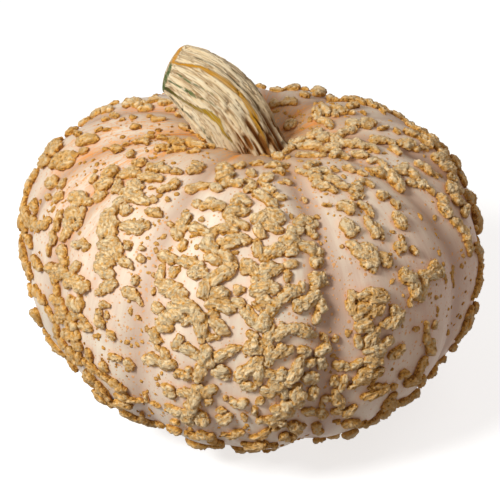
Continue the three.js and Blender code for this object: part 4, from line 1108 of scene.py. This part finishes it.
def stem_piece():
    middle, along, aside, forward, angle, out, share, length, whole = stem_points()
    rows, columns = out.shape
    lengthwise = np.repeat(length[:, None], columns, axis=1) / FIBRE_LENGTH
    round_x, round_y = (
        np.repeat(turn[None] * GRAIN_RADIUS, rows, axis=0) / FIBRE_BREADTH
        for turn in (np.cos(angle), np.sin(angle))
    )
    grain = np.stack([lengthwise, round_x, round_y], axis=-1).reshape(-1, 3)

    def cork(scale, seed, count):
        return octaves(grain * scale, seed, count).reshape(rows, columns)

    splits = cork([1, 1, 1], seed=50, count=3)
    flakes = cork([2.2, 1.5, 1.5], seed=55, count=3)
    coarse = cork([0.7, 0.45, 0.45], seed=60, count=2)
    fibres = cork([1.5, 1.9, 1.9], seed=57, count=2)
    low = np.clip(1 - share, 0, 1)[:, None]
    fissure = smoothstep(0.66, 1, 1 - np.abs(splits) * 1.6)
    cracks = smoothstep(0.7, 1, 1 - np.abs(fibres) * 1.8)
    hollow = stem_hollows(share, angle)
    relief = coarse * (0.5 + low) + 0.4 * flakes - 0.7 * cracks
    relief = relief - (0.9 + 1.8 * low**2) * fissure - HOLLOW_DEEP * hollow
    # The fissure value, which darkens the colour as painted shade, takes in the cracks, the hollows and the
    # low places near the foot.
    fissure = np.maximum(np.maximum(fissure, 0.8 * cracks), hollow)
    fissure = np.clip(fissure + 0.9 * low**3 * smoothstep(0.3, -0.3, coarse), 0, 1)
    out = out + relief * whole[:, None]
    points = (
        middle[:, None]
        + aside[:, None] * (out * np.cos(angle))[..., None]
        + forward[:, None] * (out * np.sin(angle))[..., None]
    ).reshape(-1, 3)
    tip = fan(len(points), np.arange(columns) + (rows - 1) * columns)
    points = np.concatenate([points, (middle[-1] + along[-1] * 0.1)[None]])
    piece = mesh_piece("stem_cork", to_world(points), [grid_faces(rows, columns), tip], "stem")
    painted, paint = stem_paint(share, length, angle, grain)
    give(piece, "fissure", np.append(fissure.ravel(), 0))
    give(piece, "hollow", np.append(hollow.ravel(), 0))
    give(piece, "grain", np.concatenate([grain, grain[-1:]]))
    give(piece, "painted", np.append(painted.ravel(), 0))
    give(piece, "paint", np.concatenate([paint.reshape(-1, 3), paint[-1, -1:]]))
    return piece


# Cream to pink skin: painted shade in the grooves, with a pinker tone, painted shade with some rust-brown in
# the hollow round the stem, a warm orange ring beside the warts that is partly painted contact shade, orange
# streaks, beds and dashes near the stem, painted shade tinted pink on the lower right, and rusty specks of
# two sizes.
def skin_material():
    n = Nodes("skin")
    place = n.place()
    grain = n.vector("grain")
    groove = n.value("groove")
    rusty = n.value("rusty")
    pole = n.value("pole")
    streak = n.noise(grain, 34, 5, 0.62)
    other = n.noise(grain, 21, 4, 0.6, 0.4)
    broad = n.noise(place, 12, 3)
    mottle = n.noise(place, 55, 4)
    mixed = n.total(n.times(broad, 0.44), (mottle, 0.22), (streak, 0.34))
    tone = n.ramp(
        mixed,
        (0.36, 0.67, 0.49, 0.38),
        (0.45, 0.74, 0.60, 0.48),
        (0.54, 0.80, 0.70, 0.57),
        (0.64, 0.85, 0.79, 0.66),
    )

    def lay(value, share, tint):
        return n.mix(n.times(value, share), tone, tint)

    streaks = n.times(rusty, n.between(other, 0.52, 0.61))
    broken = n.between(n.noise(n.stretch(grain, (1, 1, 2.2)), 9, 3, 0.6), 0.47, 0.56)
    beds = n.times(n.times(rusty, n.between(groove, 0.2, 0.7)), broken)
    dashes = n.times(rusty, n.between(n.noise(n.stretch(grain, (1, 1, 3)), 85, 3, 0.6), 0.54, 0.6))
    # Painted shade in the grooves, with a pinker tone.
    tone = lay(n.between(groove, 0.25, 1), 0.85, (0.47, 0.31, 0.225))
    # A warm orange ring beside the warts, partly painted contact shade.
    tone = lay(n.value("beside"), 0.36, (0.80, 0.47, 0.28))
    # Painted shade in the hollow round the stem, darker towards the pole, with some rust-brown in it.
    tone = lay(n.between(pole, 0.8, 0.25), 0.85, (0.47, 0.28, 0.15))
    tone = lay(streaks, 0.45, (0.80, 0.42, 0.15))
    tone = lay(dashes, 0.85, (0.86, 0.36, 0.05))
    tone = lay(beds, n.between(streak, 0.42, 0.52), (0.80, 0.29, 0.035))
    # Painted shade, tinted pink, on the right side of the fruit below its shoulder.
    across = n.add("SeparateXYZ", {"Vector": place}).outputs["X"]
    pink_shade = n.times(n.between(across, 0.01, 0.12), n.between(pole, 0.8, 1.4))
    tone = n.mix(pink_shade, tone, (0.96, 0.85, 0.84), "MULTIPLY")
    specks = []
    crowd = n.value("drift")
    for scale, share in ((270, 0.75), (460, 0.9)):
        cells = n.add("TexVoronoi", {"Vector": place, "Scale": scale}, feature="F1")
        split = n.add("SeparateColor", {"Color": cells.outputs["Color"]})
        size = n.total(0.1, (split.outputs["Green"], 0.2))
        inside = n.math("SUBTRACT", size, cells.outputs["Distance"])
        there = n.math("LESS_THAN", split.outputs["Red"], n.total(0.36, (crowd, share)))
        specks.append(n.times(n.between(inside, -0.03, 0.05), there))
    speck = n.math("MAXIMUM", *specks)
    tone = lay(speck, 0.85, (0.74, 0.36, 0.12))
    height = n.total(n.times(speck, 0.5), (streak, 0.35), (n.noise(place, 800, 2), 0.12))
    return n.finished(tone, n.between(streak, 0.25, 0.75, 0.44, 0.6), 0.35, (height, 0.5, 0.0009))


# Tan cork, paler where it rises high and faces out and more orange low down, with painted shade in its folds,
# thin creases and small holes, and a deeper gold near the fruit's edges that is partly painted shade.
def wart_material():
    n = Nodes("wart_cork")
    coarse = n.noise(n.place(), 150, 4, 0.6, 0.6)
    fine = n.noise(n.vector("bark"), 0.8, 5, 0.7, 0.7)
    crease = n.crease(fine)
    crown = n.times(n.between(n.value("rise"), 0.2, 3.6), 0.42)
    # Deeper gold near the fruit's edges, partly painted shade.
    gold_and_shade = n.value("gold_and_shade")
    # Low folds and thin creases take the darker stops of the ramp: painted shade in them.
    parts = n.total(crown, (coarse, 0.3), (crease, 1.6), (n.value("folds"), 0.7), (gold_and_shade, -0.22))
    grit = n.noise(n.place(), 750, 3, 0.6)
    holes = n.add("TexVoronoi", {"Vector": n.place(), "Scale": 420}, feature="F1").outputs["Distance"]
    hole = n.times(n.between(holes, 0.3, 0.12), n.between(coarse, 0.48, 0.6))
    tone = n.ramp(
        parts,
        (0.14, 0.44, 0.18, 0.03),
        (0.32, 0.85, 0.43, 0.07),
        (0.52, 0.87, 0.50, 0.155),
        (0.78, 0.91, 0.61, 0.28),
        (1.0, 0.97, 0.77, 0.47),
    )
    # Painted shade in the small holes.
    tone = n.mix(n.times(hole, 0.5), tone, (0.36, 0.15, 0.035))
    height = n.total(fine, (grit, 0.5), (crease, 2), (hole, -0.5))
    return n.finished(tone, n.between(fine, 0.25, 0.75, 0.68, 0.95), 0.3, (height, 1.0, 0.0015))


# Pale fibrous cork, with stripes that are worn where the fibres stand out. Its fissures are dark brown,
# partly their own colour and partly painted shade, and the hollows at its foot are darkened as painted shade.
def stem_material():
    n = Nodes("stem_cork")
    grain = n.vector("grain")
    fine = n.noise(grain, 1.9, 5, 0.66)
    thread = n.noise(n.stretch(grain, (0.6, 2.6, 2.6)), 2.2, 4, 0.6)
    crease = n.crease(thread)
    parts = n.total(n.times(fine, 0.6), (crease, 1.1))
    tone = n.ramp(
        parts,
        (0.12, 0.38, 0.20, 0.06),
        (0.20, 0.71, 0.50, 0.25),
        (0.30, 0.90, 0.73, 0.46),
        (0.48, 0.95, 0.86, 0.64),
    )
    # Dark brown in the fissures and cracks: partly the cork's own colour, partly painted shade.
    tone = n.mix(n.times(n.value("fissure"), 0.75), tone, (0.33, 0.16, 0.04))
    worn = n.times(n.value("painted"), n.between(thread, 0.46, 0.6, 1, 0.7))
    tone = n.mix(worn, tone, n.vector("paint"))
    # Painted shade in the hollows at the foot.
    tone = n.mix(n.between(n.value("hollow"), 0.25, 0.7), tone, (0.25, 0.09, 0.012))
    height = n.total(fine, (crease, 1.4))
    return n.finished(tone, n.between(fine, 0.2, 0.8, 0.72, 0.95), 0.3, (height, 0.8, 0.0011))


# The floor is a sheet of squares just under the fruit, in metres. It glows a little, as a lit studio's floor
# does, and throws no light back at the fruit.
FLOOR_HALF = 6
FLOOR_SQUARES = 8
FLOOR_SUNK = 0.0003
FLOOR_GLOW = 0.7


def floor_piece():
    points = FLOOR_SQUARES + 1
    steps = np.linspace(-1, 1, points)
    x, y = (grid.ravel() * FLOOR_HALF for grid in np.meshgrid(steps, steps))
    low = np.arange(FLOOR_SQUARES)[:, None] * points + np.arange(FLOOR_SQUARES)[None, :]
    quads = np.stack([low, low + 1, low + points + 1, low + points], axis=-1).reshape(-1, 4)
    floor = mesh_piece("floor", np.stack([x, y, 0 * x - FLOOR_SUNK], axis=1), [quads], None)
    n = Nodes("floor")
    tone = n.ramp(n.noise(n.place(), 3, 3), (0, 0.54, 0.56, 0.58), (1, 0.57, 0.59, 0.61))
    glow = {"Emission Color": (1, 1, 1), "Emission Strength": FLOOR_GLOW}
    floor.data.materials.append(n.surface({"Base Color": tone, "Roughness": 0.9, **glow}))
    floor.visible_diffuse = False


# A round area light that looks at the middle of the fruit. Its size is in metres and its power in watts.
def light(name, place, size, power, tint):
    data = bpy.data.lights.new(name, "AREA")
    data.shape = "DISK"
    data.size = size
    data.energy = power
    data.color = tint
    lamp = bpy.data.objects.new(name, data)
    bpy.context.scene.collection.objects.link(lamp)
    lamp.location = place
    lamp.rotation_mode = "QUATERNION"
    lamp.rotation_quaternion = (Vector(place) - Vector((0, 0, 0.09))).to_track_quat("Z", "Y")


# The camera stands where the photographer stood, and looks at the fruit's centre.
camera_data = bpy.data.cameras.new("camera")
camera = bpy.data.objects.new("camera", camera_data)
bpy.context.scene.collection.objects.link(camera)
bpy.context.scene.camera = camera
toward_eye = Vector((0, -math.cos(VIEW_ELEVATION), math.sin(VIEW_ELEVATION)))
camera.location = Vector((0, 0, CENTRE_HEIGHT / 1000)) + toward_eye * VIEW_DISTANCE / 1000
camera.rotation_mode = "QUATERNION"
camera.rotation_quaternion = toward_eye.to_track_quat("Z", "Y")
camera_data.sensor_width = 36
camera_data.lens = VIEW_DISTANCE * VIEW_UNITS_PER_MM / VIEW_SIZE * camera_data.sensor_width
camera_data.shift_x = (VIEW_SIZE / 2 - VIEW_CENTRE[0]) / VIEW_SIZE
camera_data.shift_y = (VIEW_CENTRE[1] - VIEW_SIZE / 2) / VIEW_SIZE
camera_data.clip_start = 0.05
camera_data.clip_end = 20

front = front_warts()
hidden, taken = hidden_warts(BACK_SEED, BACK_WARTS, BACK_SPACING, BACK_WIDTH, BACK_LENGTH, [])
small, _ = hidden_warts(SMALL_SEED, SMALL_WARTS, SMALL_SPACING, SMALL_WIDTH, SMALL_LENGTH, taken)
skin = skin_piece(front + hidden + small)
skin.data.materials.append(skin_material())
cork = wart_material()
for piece in wart_pieces({"front": front, "hidden": hidden + small}):
    piece.data.materials.append(cork)
    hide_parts("fruit")
pimples = pimple_piece(front + hidden + small)
pimples.data.materials.append(cork)
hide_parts("fruit")
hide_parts("fruit")
stem = stem_piece()
stem.data.materials.append(stem_material())
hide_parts("stem")
floor_piece()

light("key", (-1.0, -1.02, 1.25), size=0.55, power=31, tint=(1, 0.99, 0.96))
light("fill", (0.75, 0.1, 1.65), size=1.2, power=3.4, tint=(1, 0.92, 0.88))
world = bpy.data.worlds.new("studio")
world.use_nodes = True
world.node_tree.nodes["Background"].inputs["Color"].default_value = (1, 0.87, 0.77, 1)
world.node_tree.nodes["Background"].inputs["Strength"].default_value = 0.3
bpy.context.scene.world = world
bpy.context.scene.view_settings.view_transform = "Standard"
